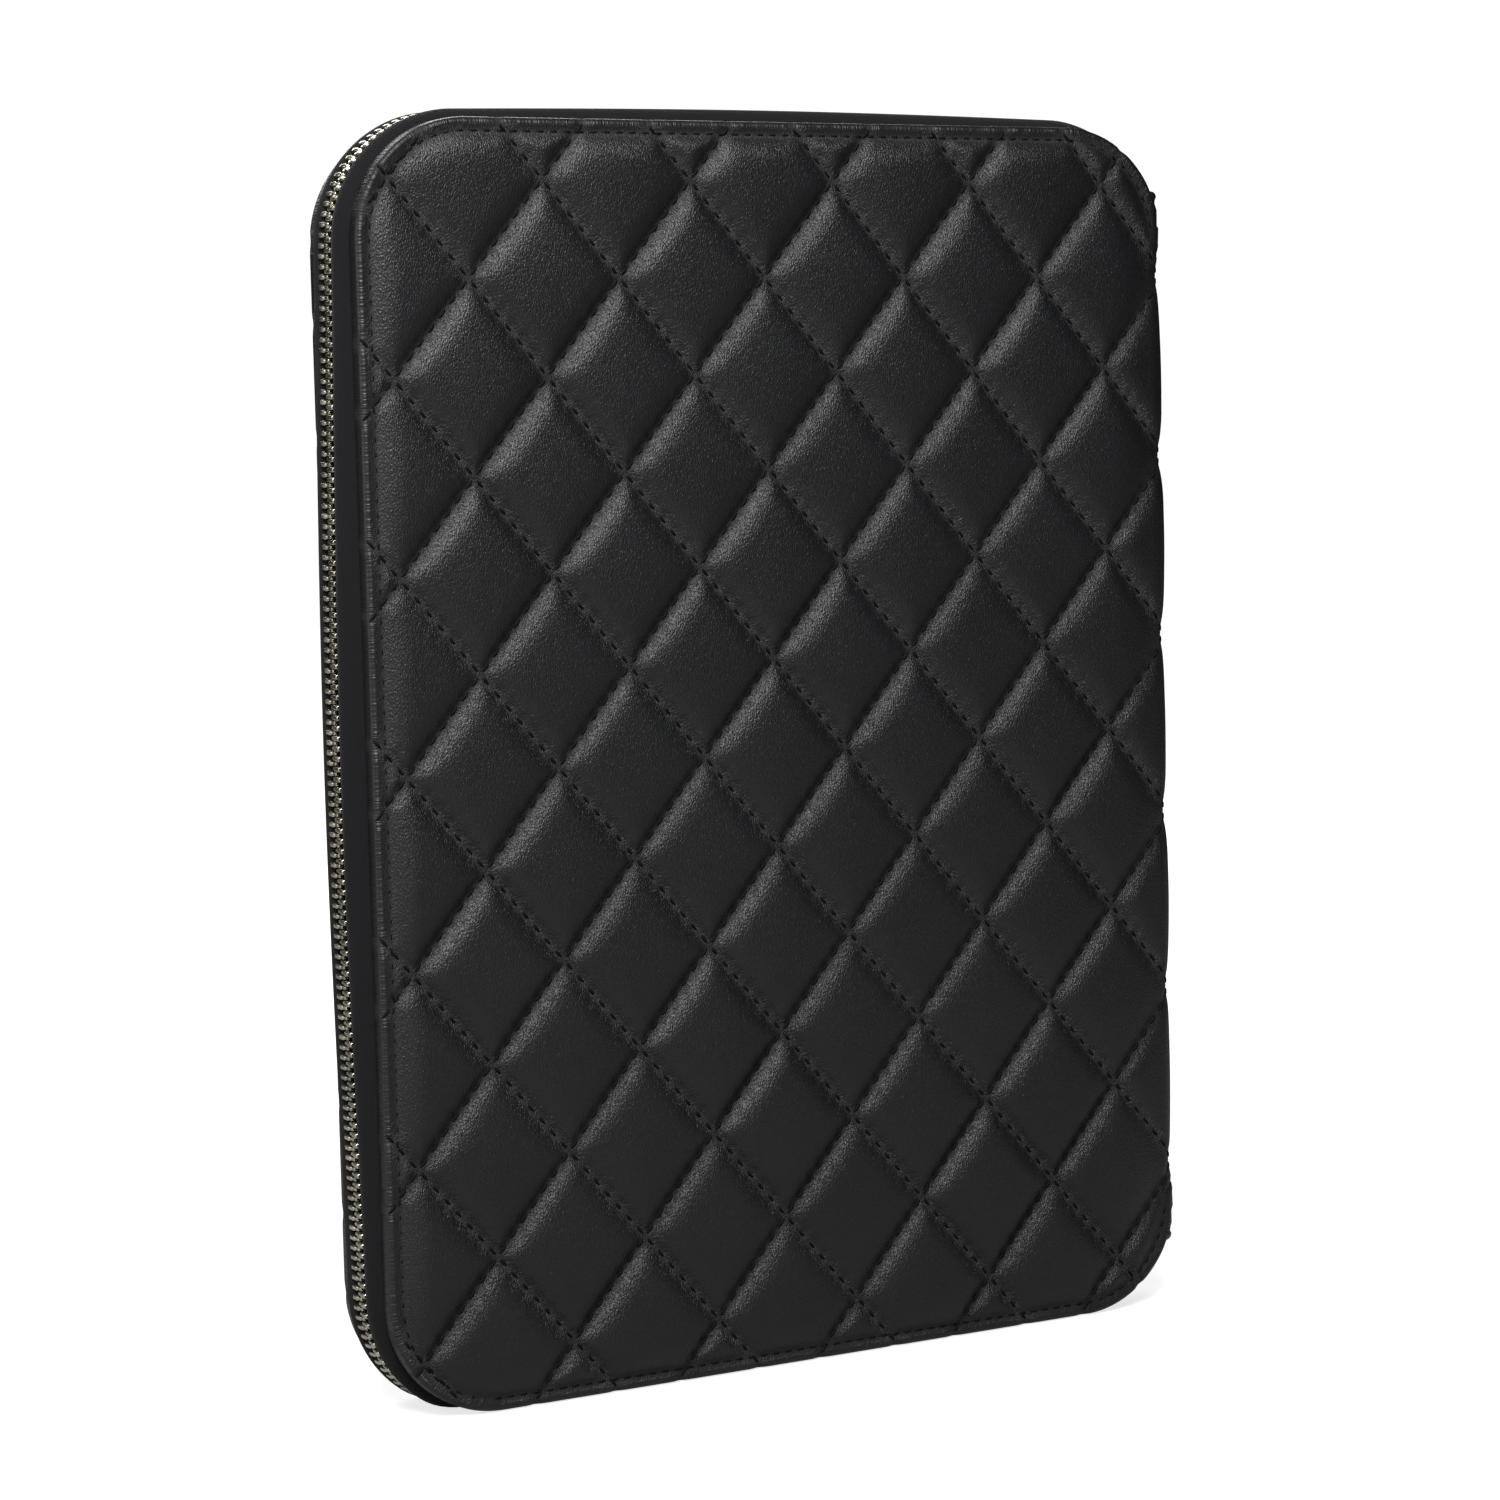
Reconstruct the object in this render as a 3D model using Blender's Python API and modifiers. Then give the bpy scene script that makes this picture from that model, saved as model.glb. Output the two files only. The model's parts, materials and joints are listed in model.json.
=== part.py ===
"""A flat jewellery case of quilted leather that zips round three sides and opens like a book.

The closed case stands upright. +Z is up, the front cover faces -Y, the spine is at +X and the
zip runs along the bottom, up the free side at -X and back along the top. The origin is at the
middle of the base. Distances named "out" are measured from the plane midway between the covers.
"""

from math import cos, pi, radians, sin

import bmesh
import bpy
from mathutils import Matrix, Vector

# Covers, in metres
COVER_WIDTH = 0.188  # free edge to spine fold
COVER_HEIGHT = 0.254
CORNER_RADIUS = 0.024
CASE_DEPTH = 0.022  # rim face to rim face
SKIN = 0.001  # leather
QUILT_RISE = 0.0016  # quilting above its flat rim
RIM_WIDTH = 0.0042
FOLD_STRIP = 0.0012  # flat leather left beside the spine fold
EDGE_TURN = 0.0032  # how deep the leather turns over a cover's free edge
BOARD = 0.0016
LINING = 0.0009
LINING_INSET = 0.0032
SPINE_END = 0.013  # from the base, and from the top, to the spine leather's ends

# Zip
TAPE = 0.0007
TAPE_TUCK = 0.0014  # how far inside the rim the tape is sewn
TAPE_SLOPE = 0.00185  # across the tape, from where it is sewn to its flat middle
TAPE_EDGE = 0.0032  # half the distance between the two tapes
TOOTH_REACH = 0.0029
TOOTH_CLEARANCE = 0.0006  # from the middle plane to each row
TOOTH_HEIGHT = 0.0022
ZIP_BULGE = 0.0012  # how far the zip's middle stands proud of the rims
ZIP_RECESS = 0.0054  # how far it is pressed in along the base
PRESS_LENGTH = 0.010  # from each end of the base to where it is right in
PRESS_START = 0.0144  # from round the free corner to the start of the base
PRESS_RISE = 0.0096  # the height where it stands proud again
TAPE_END_ANGLE = 57  # how far round the spine corners the tapes reach, in degrees
UPPER_ROW_END_ANGLE = 47
LOWER_ROW_END = 0.005  # from the lower spine corner's tangent point to the last tooth
STOP_LENGTH = 0.0024
SLIDER_LENGTH = 0.011
SLIDER_SIDE = 0.0005  # between the slider and the tapes' slopes
SLIDER_CORNER = 0.00216
SLIDER_PLATE = 0.0009
SLIDER_POST = 0.0006
SLIDER_POST_LENGTH = 0.0024
SLIDER_OVERRUN = 0.0015  # slider past the last tooth, when the zip is shut
LUG_LENGTH = 0.0026
LUG_THICKNESS = 0.0007
LUG_GAP = 0.0028
PULL_PIN_RADIUS = 0.0004
PULL_BARREL_RADIUS = 0.0011
PULL_LENGTH = 0.022
PULL_WIDTH = 0.0052
PULL_THICKNESS = 0.001
PULL_CORNER = 0.0012

# Inside
FREE_MARGIN = 0.024  # from the free edge to the pockets and the earring panel
FOLD_MARGIN = 0.036  # from them to the spine fold
STRAP = 0.0012
STRAP_END_SHARE = 0.95  # of a full half round
RING_ROLL_FROM_TOP = 0.049
RING_STRAP_WIDTH = 0.012
RING_STRAP_TAB = 0.017  # strap past the roll, at the rivet
RING_SNAP_TAB = 0.0085  # from the roll to the snap, and from the snap to the strap's end
RING_PIVOT_FROM_FOLD = 0.034
RING_SNAP_FROM_EDGE = 0.0165
RING_ROLL_ROUNDING = 0.00135
RIVET_RADIUS = 0.0017
RIVET_HEAD_RADIUS = 0.0036
SNAP_RADIUS = 0.004
SNAP_HEIGHT = 0.0013
DOME_SHARE = 0.7  # of a snap's or a rivet's radius left at its top
POCKET_WALL = 0.0011
POCKET_CORNER = 0.004
POCKET_BASE = 0.016
BACK_POCKET_HEIGHT = 0.084
FRONT_POCKET_HEIGHT = 0.072
FRONT_POCKET_DEPTH = 0.0055
PANEL_ABOVE_POCKET = 0.018
PANEL_BELOW_STRAPS = 0.022
PANEL_THICKNESS = 0.0016
PANEL_CORNER = 0.004
EARRING_HOLE_RADIUS = 0.0011
EARRING_COLUMNS = 6
EARRING_ROWS = 4
EARRING_PAIR = 0.008
NECKLACE_STRAPS = 3
NECKLACE_STRAP_LENGTH = 0.030
NECKLACE_STRAP_WIDTH = 0.009
NECKLACE_FROM_TOP = 0.010
NECKLACE_PITCH = 0.042
NECKLACE_SNAP_RADIUS = 0.0036
NECKLACE_SNAP_TOP_RADIUS = 0.0024

# Fits
GAP = 0.0003  # between pieces that touch
RUNNING_GAP = 0.0003  # between pieces that move on each other
ROLL_ROOM = 0.0011  # between the ring roll and the earring panel, when the case is shut
POCKET_ROOM = 0.0015  # between the two pockets, when the case is shut
ARC_STEPS = 8  # facets in a quarter of a large corner
SMALL_ARC_STEPS = 4

FRONT, BACK = -1, 1

# Layers, out from the middle plane
RIM_FACE = CASE_DEPTH / 2
RIM_BACK = RIM_FACE - SKIN
QUILT_FACE = RIM_FACE + QUILT_RISE
QUILT_BACK = QUILT_FACE - SKIN
BOARD_FACE = RIM_BACK - GAP
BOARD_BACK = BOARD_FACE - BOARD
LINING_FACE = BOARD_BACK - GAP
LINING_BACK = LINING_FACE - LINING
INSIDE = LINING_BACK - GAP
TURN_END = RIM_FACE - EDGE_TURN
TAPE_OUT = TURN_END - GAP - TAPE / 2
TAPE_SHOULDER = TAPE_OUT - TAPE_SLOPE

# The case is as wide as its covers, the zip proud of one edge and the spine's quilting
ZIP_STAND = ZIP_BULGE + TOOTH_HEIGHT / 2
CASE_WIDTH = ZIP_STAND + COVER_WIDTH + QUILT_RISE
FREE_EDGE = -CASE_WIDTH / 2 + ZIP_STAND
FOLD = FREE_EDGE + COVER_WIDTH
SPINE_TANGENT = FOLD - CORNER_RADIUS
LAST_TOOTH = SPINE_TANGENT - LOWER_ROW_END
SLIDER_REST = LAST_TOOTH + SLIDER_OVERRUN - SLIDER_LENGTH / 2
PLATE_FACE = TOOTH_HEIGHT / 2 + RUNNING_GAP + SLIDER_PLATE
PULL_PIVOT_DROP = PLATE_FACE + RUNNING_GAP + PULL_BARREL_RADIUS

# Inside
INSIDE_LEFT = FREE_EDGE + FREE_MARGIN
INSIDE_RIGHT = FOLD - FOLD_MARGIN
RING_PIVOT = FOLD - RING_PIVOT_FROM_FOLD
RING_SNAP = FREE_EDGE + RING_SNAP_FROM_EDGE
RING_STRAP_OUT = INSIDE - STRAP
RING_ROLL_HEIGHT = COVER_HEIGHT - RING_ROLL_FROM_TOP
RING_ROLL_RADIUS = (INSIDE + RING_STRAP_OUT - GAP - PANEL_THICKNESS - ROLL_ROOM) / 2
BACK_POCKET_DEPTH = 2 * INSIDE - FRONT_POCKET_DEPTH - POCKET_ROOM
NECKLACE_STRAP_BASE = COVER_HEIGHT - NECKLACE_FROM_TOP - NECKLACE_STRAP_LENGTH
PANEL_BASE = POCKET_BASE + FRONT_POCKET_HEIGHT + PANEL_ABOVE_POCKET
PANEL_TOP = NECKLACE_STRAP_BASE - PANEL_BELOW_STRAPS


def collection_named(name):
    """A collection linked to the scene."""
    made = bpy.data.collections.new(name)
    bpy.context.scene.collection.children.link(made)
    return made


def finish(name, colour, roughness, metallic=0.0):
    """A Principled material."""
    material = bpy.data.materials.new(name)
    material.use_nodes = True
    shader = material.node_tree.nodes["Principled BSDF"]
    shader.inputs["Base Color"].default_value = (*colour, 1)
    shader.inputs["Roughness"].default_value = roughness
    shader.inputs["Metallic"].default_value = metallic
    return material


def rounded_rectangle(left, right, low, high, radius, steps=ARC_STEPS):
    """Outline points of a rectangle with round corners, in order round it."""
    corners = (
        (right - radius, low + radius, -90),
        (right - radius, high - radius, 0),
        (left + radius, high - radius, 90),
        (left + radius, low + radius, 180),
    )
    points = []
    for centre_u, centre_v, start in corners:
        for step in range(steps + 1):
            turn = radians(start + 90 * step / steps)
            points.append((centre_u + radius * cos(turn), centre_v + radius * sin(turn)))
    return points


def circle(centre_u, centre_v, radius, sides=10):
    """Outline points of a round hole."""
    turns = [2 * pi * side / sides for side in range(sides)]
    return [(centre_u + radius * cos(turn), centre_v + radius * sin(turn)) for turn in turns]


def cover_outline(inset, fold_inset=None):
    """A cover's outline, moved in from its edges, and by fold_inset from the spine fold."""
    fold_inset = inset if fold_inset is None else fold_inset
    return rounded_rectangle(
        FREE_EDGE + inset,
        FOLD - fold_inset,
        inset,
        COVER_HEIGHT - inset,
        CORNER_RADIUS - inset,
    )


def add_mesh(name, mesh, material, home):
    """An object of this mesh in a collection."""
    piece = bpy.data.objects.new(name, mesh)
    mesh.materials.clear()
    mesh.materials.append(material)
    home.objects.link(piece)
    return piece


FACING_Y = Matrix(((1, 0, 0, 0), (0, 0, -1, 0), (0, 1, 0, 0), (0, 0, 0, 1)))
FACING_X = Matrix(((0, 0, 1, 0), (1, 0, 0, 0), (0, 1, 0, 0), (0, 0, 0, 1)))
FACING_Z = Matrix.Identity(4)


def flat_piece(name, outlines, low, high, material, home, facing=FACING_Y):
    """A flat piece between two depths. Outlines inside the first are holes."""
    curve = bpy.data.curves.new(name, "CURVE")
    curve.dimensions = "2D"
    curve.fill_mode = "BOTH"
    curve.extrude = (high - low) / 2
    for outline in outlines:
        spline = curve.splines.new("POLY")
        spline.points.add(len(outline) - 1)
        for point, (u, v) in zip(spline.points, outline):
            point.co = (u, v, 0, 1)
        spline.use_cyclic_u = True
    guide = bpy.data.objects.new(name + "_outline", curve)
    home.objects.link(guide)
    graph = bpy.context.evaluated_depsgraph_get()
    mesh = bpy.data.meshes.new_from_object(guide.evaluated_get(graph))
    bpy.data.objects.remove(guide)
    bpy.data.curves.remove(curve)
    shape = bmesh.new()
    shape.from_mesh(mesh)
    bmesh.ops.remove_doubles(shape, verts=shape.verts, dist=1e-6)
    if len(outlines) == 1:
        bmesh.ops.dissolve_limit(
            shape, angle_limit=radians(0.1), verts=shape.verts, edges=shape.edges
        )
    depth = (low + high) / 2
    away = -depth if facing is FACING_Y else depth
    bmesh.ops.transform(shape, matrix=facing @ Matrix.Translation((0, 0, away)), verts=shape.verts)
    shape.to_mesh(mesh)
    shape.free()
    return add_mesh(name, mesh, material, home)


def layer(name, outlines, side, out_a, out_b, material, home):
    """A flat piece of the front or the back, between two distances out from the middle."""
    low, high = sorted((side * out_a, side * out_b))
    return flat_piece(name, outlines, low, high, material, home)


def block(name, lows, highs, material, home):
    """A box between two corners."""
    shape = bmesh.new()
    bmesh.ops.create_cube(shape, size=1)
    size = [high - low for low, high in zip(lows, highs)]
    middle = [(low + high) / 2 for low, high in zip(lows, highs)]
    bmesh.ops.scale(shape, vec=size, verts=shape.verts)
    bmesh.ops.translate(shape, vec=middle, verts=shape.verts)
    mesh = bpy.data.meshes.new(name)
    shape.to_mesh(mesh)
    shape.free()
    return add_mesh(name, mesh, material, home)


def pin(name, start, end, radius, material, home, sides=16, end_radius=None):
    """A round pin between two points, or a cone when end_radius is given."""
    start, end = Vector(start), Vector(end)
    shape = bmesh.new()
    bmesh.ops.create_cone(
        shape,
        cap_ends=True,
        segments=sides,
        radius1=radius,
        radius2=radius if end_radius is None else end_radius,
        depth=(end - start).length,
    )
    turn = (end - start).to_track_quat("Z", "Y").to_matrix().to_4x4()
    place = Matrix.Translation((start + end) / 2) @ turn
    bmesh.ops.transform(shape, matrix=place, verts=shape.verts)
    mesh = bpy.data.meshes.new(name)
    shape.to_mesh(mesh)
    shape.free()
    mesh.shade_smooth()
    mesh.set_sharp_from_angle(angle=radians(40))
    return add_mesh(name, mesh, material, home)


def combine(piece, other, operation):
    """Joins a helper to a piece, or cuts it away. The helper stays hidden."""
    boolean = piece.modifiers.new(other.name, "BOOLEAN")
    boolean.operation = operation
    boolean.solver = "EXACT"
    boolean.object = other
    other.hide_render = True
    other.display_type = "WIRE"


def mitre_tool(name, side, spine_side, material, home):
    """A block whose face is the 45 degree mitre at a fold, on the side that is cut away."""
    reach = CASE_DEPTH
    shape = bmesh.new()
    bmesh.ops.create_cube(shape, size=1)
    size = (2 * reach, 2 * reach, COVER_HEIGHT + 2 * reach)
    bmesh.ops.scale(shape, vec=size, verts=shape.verts)
    into_spine = Vector((1, -side, 0)).normalized()
    away = into_spine if spine_side else -into_spine
    centre = Vector((FOLD, side * RIM_FACE, COVER_HEIGHT / 2)) + away * (reach - GAP / 2)
    place = Matrix.Translation(centre) @ Matrix.Rotation(radians(45), 4, "Z")
    bmesh.ops.transform(shape, matrix=place, verts=shape.verts)
    mesh = bpy.data.meshes.new(name)
    shape.to_mesh(mesh)
    shape.free()
    return add_mesh(name, mesh, material, home)


def eased(value, low, high):
    """From 0 at low to 1 at high, with level ends."""
    share = min(max((value - low) / (high - low), 0), 1)
    return share * share * (3 - 2 * share)


def zip_route(lower_end, upper_end):
    """(point, outward direction, stand) along the zip, from the lower spine corner to the upper.

    An end is an angle round a spine corner, or a place along X on the base. Stand is how far the
    zip's middle is proud of the rims, and is negative along the base, where it is pressed in.
    """
    low, high = CORNER_RADIUS, COVER_HEIGHT - CORNER_RADIUS
    near, far = FREE_EDGE + CORNER_RADIUS, SPINE_TANGENT
    places = []
    if lower_end > 1:
        for step in range(ARC_STEPS + 1):
            turn = radians(lower_end * (1 - step / ARC_STEPS))
            places.append((far, low, sin(turn), -cos(turn)))
        lower_end = far - PRESS_LENGTH / 3
    easing = [near + PRESS_LENGTH * share for share in (1, 2 / 3, 1 / 3)]
    base_stops = [lower_end, far - 2 * PRESS_LENGTH, *easing]
    places += [(x, low, 0, -1) for x in base_stops if x <= lower_end]
    for step in range(ARC_STEPS + 1):
        turn = radians(90 * step / ARC_STEPS)
        places.append((near, low, -sin(turn), -cos(turn)))
    for step in range(ARC_STEPS + 1):
        turn = radians(90 * step / ARC_STEPS)
        places.append((near, high, -cos(turn), sin(turn)))
    for step in range(ARC_STEPS + 1):
        turn = radians(upper_end * step / ARC_STEPS)
        places.append((far, high, sin(turn), cos(turn)))
    route = []
    for centre_x, centre_z, out_x, out_z in places:
        x, z = centre_x + CORNER_RADIUS * out_x, centre_z + CORNER_RADIUS * out_z
        pressed = 1 - eased(z, 0, PRESS_RISE)
        pressed *= eased(x, near - PRESS_START, near + PRESS_LENGTH)
        stand = ZIP_BULGE - pressed * (ZIP_BULGE + ZIP_RECESS)
        route.append((Vector((x, z)), Vector((out_x, out_z)), stand))
    return route


def swept(name, route, section, side, material, home):
    """A closed solid through a section at each place of a route, with an end at each end."""
    shape = bmesh.new()
    rings = []
    for place, outward, stand in route:
        ring = []
        for proud, out in section(stand):
            at = place + outward * proud
            ring.append(shape.verts.new((at.x, side * out, at.y)))
        rings.append(ring)
    count = len(rings[0])
    for first, second in zip(rings, rings[1:]):
        for i in range(count):
            j = (i + 1) % count
            shape.faces.new((first[i], first[j], second[j], second[i]))
    shape.faces.new(rings[0])
    shape.faces.new(rings[-1])
    bmesh.ops.recalc_face_normals(shape, faces=shape.faces)
    mesh = bpy.data.meshes.new(name)
    shape.to_mesh(mesh)
    shape.free()
    return add_mesh(name, mesh, material, home)


def tape_section(stand):
    """The tape from where it is sewn behind the rim to the edge that holds the teeth."""
    half = TAPE / 2
    sewn = (-TAPE_TUCK, TAPE_OUT)
    shoulder = (stand, TAPE_SHOULDER)
    along = Vector((shoulder[0] - sewn[0], shoulder[1] - sewn[1])).normalized()
    across = Vector((-along.y, along.x)) * half
    if across.x < 0:
        across = -across
    corner = half * (1 - abs(along.x)) / max(abs(along.y), 0.2)
    return (
        (sewn[0] + across.x, sewn[1] + across.y),
        (shoulder[0] + half, shoulder[1] + corner * (1 if stand > 0 else -1)),
        (stand + half, TAPE_EDGE),
        (stand - half, TAPE_EDGE),
        (shoulder[0] - half, shoulder[1] - corner * (1 if stand > 0 else -1)),
        (sewn[0] - across.x, sewn[1] - across.y),
    )


def row_section(stand, taller=0):
    """The row of teeth on the tape's corded edge, as one bead."""
    half = TOOTH_HEIGHT / 2 + taller
    return (
        (stand + half, TOOTH_REACH),
        (stand + half, TOOTH_CLEARANCE),
        (stand - half, TOOTH_CLEARANCE),
        (stand - half, TOOTH_REACH),
    )


def stop_section(stand):
    """A metal stop, a little taller than the teeth."""
    return row_section(stand, GAP / 2)


def make_cover(word, side, materials, home, tools):
    """Leather, padding, board and lining of one cover."""
    mitre = mitre_tool(word + "_mitre", side, True, materials["tool"], tools)

    leather = layer(
        word + "_leather", [cover_outline(0)], side, TURN_END, RIM_FACE, materials["leather"], home
    )
    quilting = layer(
        word + "_quilting",
        [cover_outline(RIM_WIDTH, FOLD_STRIP)],
        side,
        RIM_FACE - SKIN / 2,
        QUILT_FACE,
        materials["leather"],
        tools,
    )
    turned_edge = layer(
        word + "_turned_edge",
        [cover_outline(SKIN)],
        side,
        TURN_END - SKIN,
        RIM_BACK,
        materials["tool"],
        tools,
    )
    padding_room = layer(
        word + "_padding_room",
        [cover_outline(RIM_WIDTH + SKIN, FOLD_STRIP + SKIN)],
        side,
        RIM_BACK - SKIN,
        QUILT_BACK,
        materials["tool"],
        tools,
    )
    combine(leather, quilting, "UNION")
    combine(leather, turned_edge, "DIFFERENCE")
    combine(leather, padding_room, "DIFFERENCE")
    combine(leather, mitre, "DIFFERENCE")

    padding_inset = SKIN + GAP
    layer(
        word + "_padding",
        [cover_outline(RIM_WIDTH + padding_inset, FOLD_STRIP + padding_inset)],
        side,
        RIM_BACK,
        QUILT_BACK - GAP,
        materials["foam"],
        home,
    )
    board = layer(
        word + "_board",
        [cover_outline(SKIN + GAP)],
        side,
        BOARD_BACK,
        BOARD_FACE,
        materials["board"],
        home,
    )
    combine(board, mitre, "DIFFERENCE")
    holes = []
    if side == BACK:
        holes.append(circle(RING_SNAP, RING_ROLL_HEIGHT, SNAP_RADIUS + GAP, 16))
    lining = layer(
        word + "_lining",
        [cover_outline(LINING_INSET), *holes],
        side,
        LINING_BACK,
        LINING_FACE,
        materials["lining"],
        home,
    )
    combine(lining, mitre, "DIFFERENCE")


def make_spine(materials, home, tools):
    """Leather, padding, board and lining between the two folds."""
    mitres = [
        mitre_tool("spine_front_mitre", FRONT, False, materials["tool"], tools),
        mitre_tool("spine_back_mitre", BACK, False, materials["tool"], tools),
    ]

    def strip(name, inset, end_inset, low, high, material, collection):
        half = RIM_FACE - inset
        ends = SPINE_END + end_inset
        outline = rounded_rectangle(
            -half, half, ends, COVER_HEIGHT - ends, SKIN, SMALL_ARC_STEPS
        )
        return flat_piece(name, [outline], low, high, material, collection, FACING_X)

    leather = strip(
        "spine_leather", 0, 0, FOLD - SKIN, FOLD, materials["leather"], home
    )
    quilting = strip(
        "spine_quilting",
        FOLD_STRIP,
        RIM_WIDTH,
        FOLD - SKIN / 2,
        FOLD + QUILT_RISE,
        materials["leather"],
        tools,
    )
    padding_room = strip(
        "spine_padding_room",
        FOLD_STRIP + SKIN,
        RIM_WIDTH + SKIN,
        FOLD - 2 * SKIN,
        FOLD + QUILT_RISE - SKIN,
        materials["tool"],
        tools,
    )
    combine(leather, quilting, "UNION")
    combine(leather, padding_room, "DIFFERENCE")
    padding_inset = SKIN + GAP
    strip(
        "spine_padding",
        FOLD_STRIP + padding_inset,
        RIM_WIDTH + padding_inset,
        FOLD - SKIN,
        FOLD + QUILT_RISE - SKIN - GAP,
        materials["foam"],
        home,
    )
    board_face = FOLD - SKIN - GAP
    lining_face = board_face - BOARD - GAP
    board = strip(
        "spine_board", 0, RIM_WIDTH, board_face - BOARD, board_face, materials["board"], home
    )
    lining = strip(
        "spine_lining", 0, RIM_WIDTH, lining_face - LINING, lining_face, materials["lining"], home
    )
    for piece in (leather, board, lining):
        for mitre in mitres:
            combine(piece, mitre, "DIFFERENCE")


def make_zip(materials, home):
    """Both tapes with their rows of teeth and the four metal stops."""
    rows = zip_route(LAST_TOOTH, UPPER_ROW_END_ANGLE)
    tapes = zip_route(TAPE_END_ANGLE, TAPE_END_ANGLE)
    stop_turn = STOP_LENGTH / CORNER_RADIUS * 180 / pi
    upper_start = UPPER_ROW_END_ANGLE + GAP / CORNER_RADIUS * 180 / pi
    lower_start = LAST_TOOTH + SLIDER_OVERRUN + RUNNING_GAP
    for word, side in (("front", FRONT), ("back", BACK)):
        swept(word + "_zip_tape", tapes, tape_section, side, materials["tape"], home)
        swept(word + "_zip_teeth", rows, row_section, side, materials["metal"], home)
        upper = zip_route(LAST_TOOTH, upper_start)[-1], zip_route(
            LAST_TOOTH, upper_start + stop_turn
        )[-1]
        swept(word + "_upper_stop", upper, stop_section, side, materials["metal"], home)
        lower = [
            (Vector((x, 0)), Vector((0, -1)), -ZIP_RECESS)
            for x in (lower_start, lower_start + STOP_LENGTH)
        ]
        swept(word + "_lower_stop", lower, stop_section, side, materials["metal"], home)


def make_slider(materials, home, tools):
    """The slider with the pull's pin, open at both sides so that either tape can leave it."""
    metal = materials["metal"]
    half_length, half_width = SLIDER_LENGTH / 2, TAPE_SHOULDER - SLIDER_SIDE
    rear = SLIDER_REST + half_length
    plate_inner = PLATE_FACE - SLIDER_PLATE
    plate_middle = PLATE_FACE - SLIDER_PLATE / 2

    def plate(name, low, high, collection):
        outline = rounded_rectangle(
            SLIDER_REST - half_length,
            rear,
            -half_width,
            half_width,
            SLIDER_CORNER,
            SMALL_ARC_STEPS,
        )
        return flat_piece(name, [outline], low, high, metal, collection, FACING_Z)

    slider = plate("zip_slider", ZIP_RECESS - PLATE_FACE, ZIP_RECESS - plate_inner, home)
    inner = plate("slider_inner_plate", ZIP_RECESS + plate_inner, ZIP_RECESS + PLATE_FACE, tools)
    post = block(
        "slider_post",
        (rear - SLIDER_POST_LENGTH, -SLIDER_POST / 2, ZIP_RECESS - plate_middle),
        (rear - RUNNING_GAP, SLIDER_POST / 2, ZIP_RECESS + plate_middle),
        metal,
        tools,
    )
    pivot = ZIP_RECESS - PULL_PIVOT_DROP
    joined = [inner, post]
    for word, side in (("front", FRONT), ("back", BACK)):
        near, far = LUG_GAP / 2, LUG_GAP / 2 + LUG_THICKNESS
        low, high = sorted((side * near, side * far))
        joined.append(
            block(
                "slider_lug_" + word,
                (SLIDER_REST - LUG_LENGTH / 2, low, pivot - PULL_BARREL_RADIUS),
                (SLIDER_REST + LUG_LENGTH / 2, high, ZIP_RECESS - plate_middle),
                metal,
                tools,
            )
        )
    reach = LUG_GAP / 2 + LUG_THICKNESS / 2
    joined.append(
        pin(
            "slider_pull_pin",
            (SLIDER_REST, -reach, pivot),
            (SLIDER_REST, reach, pivot),
            PULL_PIN_RADIUS,
            metal,
            tools,
            sides=8,
        )
    )
    for piece in joined:
        combine(slider, piece, "UNION")

    make_pull(pivot, metal, materials["tool"], home, tools)


def make_pull(pivot, metal, tool, home, tools):
    """The pull, with a barrel that turns on the slider's pin."""
    barrel_half = LUG_GAP / 2 - RUNNING_GAP
    half_width, half_thickness = PULL_WIDTH / 2, PULL_THICKNESS / 2
    outline = rounded_rectangle(
        SLIDER_REST - PULL_LENGTH,
        SLIDER_REST,
        -half_width,
        half_width,
        PULL_CORNER,
        SMALL_ARC_STEPS,
    )
    pull = flat_piece(
        "zip_pull",
        [outline],
        pivot - half_thickness,
        pivot + half_thickness,
        metal,
        home,
        FACING_Z,
    )
    clearance = block(
        "pull_lug_room",
        (SLIDER_REST - LUG_LENGTH / 2 - PULL_BARREL_RADIUS, -PULL_WIDTH, pivot - PULL_WIDTH),
        (SLIDER_REST + PULL_WIDTH, PULL_WIDTH, pivot + PULL_WIDTH),
        tool,
        tools,
    )
    neck = block(
        "pull_neck",
        (SLIDER_REST - LUG_LENGTH - PULL_BARREL_RADIUS, -barrel_half, pivot - half_thickness),
        (SLIDER_REST, barrel_half, pivot + half_thickness),
        metal,
        tools,
    )
    barrel = pin(
        "pull_barrel",
        (SLIDER_REST, -barrel_half, pivot),
        (SLIDER_REST, barrel_half, pivot),
        PULL_BARREL_RADIUS,
        metal,
        tools,
        sides=14,
    )
    bore = pin(
        "pull_bore",
        (SLIDER_REST, -PULL_WIDTH, pivot),
        (SLIDER_REST, PULL_WIDTH, pivot),
        PULL_PIN_RADIUS + RUNNING_GAP,
        tool,
        tools,
        sides=12,
    )
    combine(pull, clearance, "DIFFERENCE")
    combine(pull, neck, "UNION")
    combine(pull, barrel, "UNION")
    combine(pull, bore, "DIFFERENCE")


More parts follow.
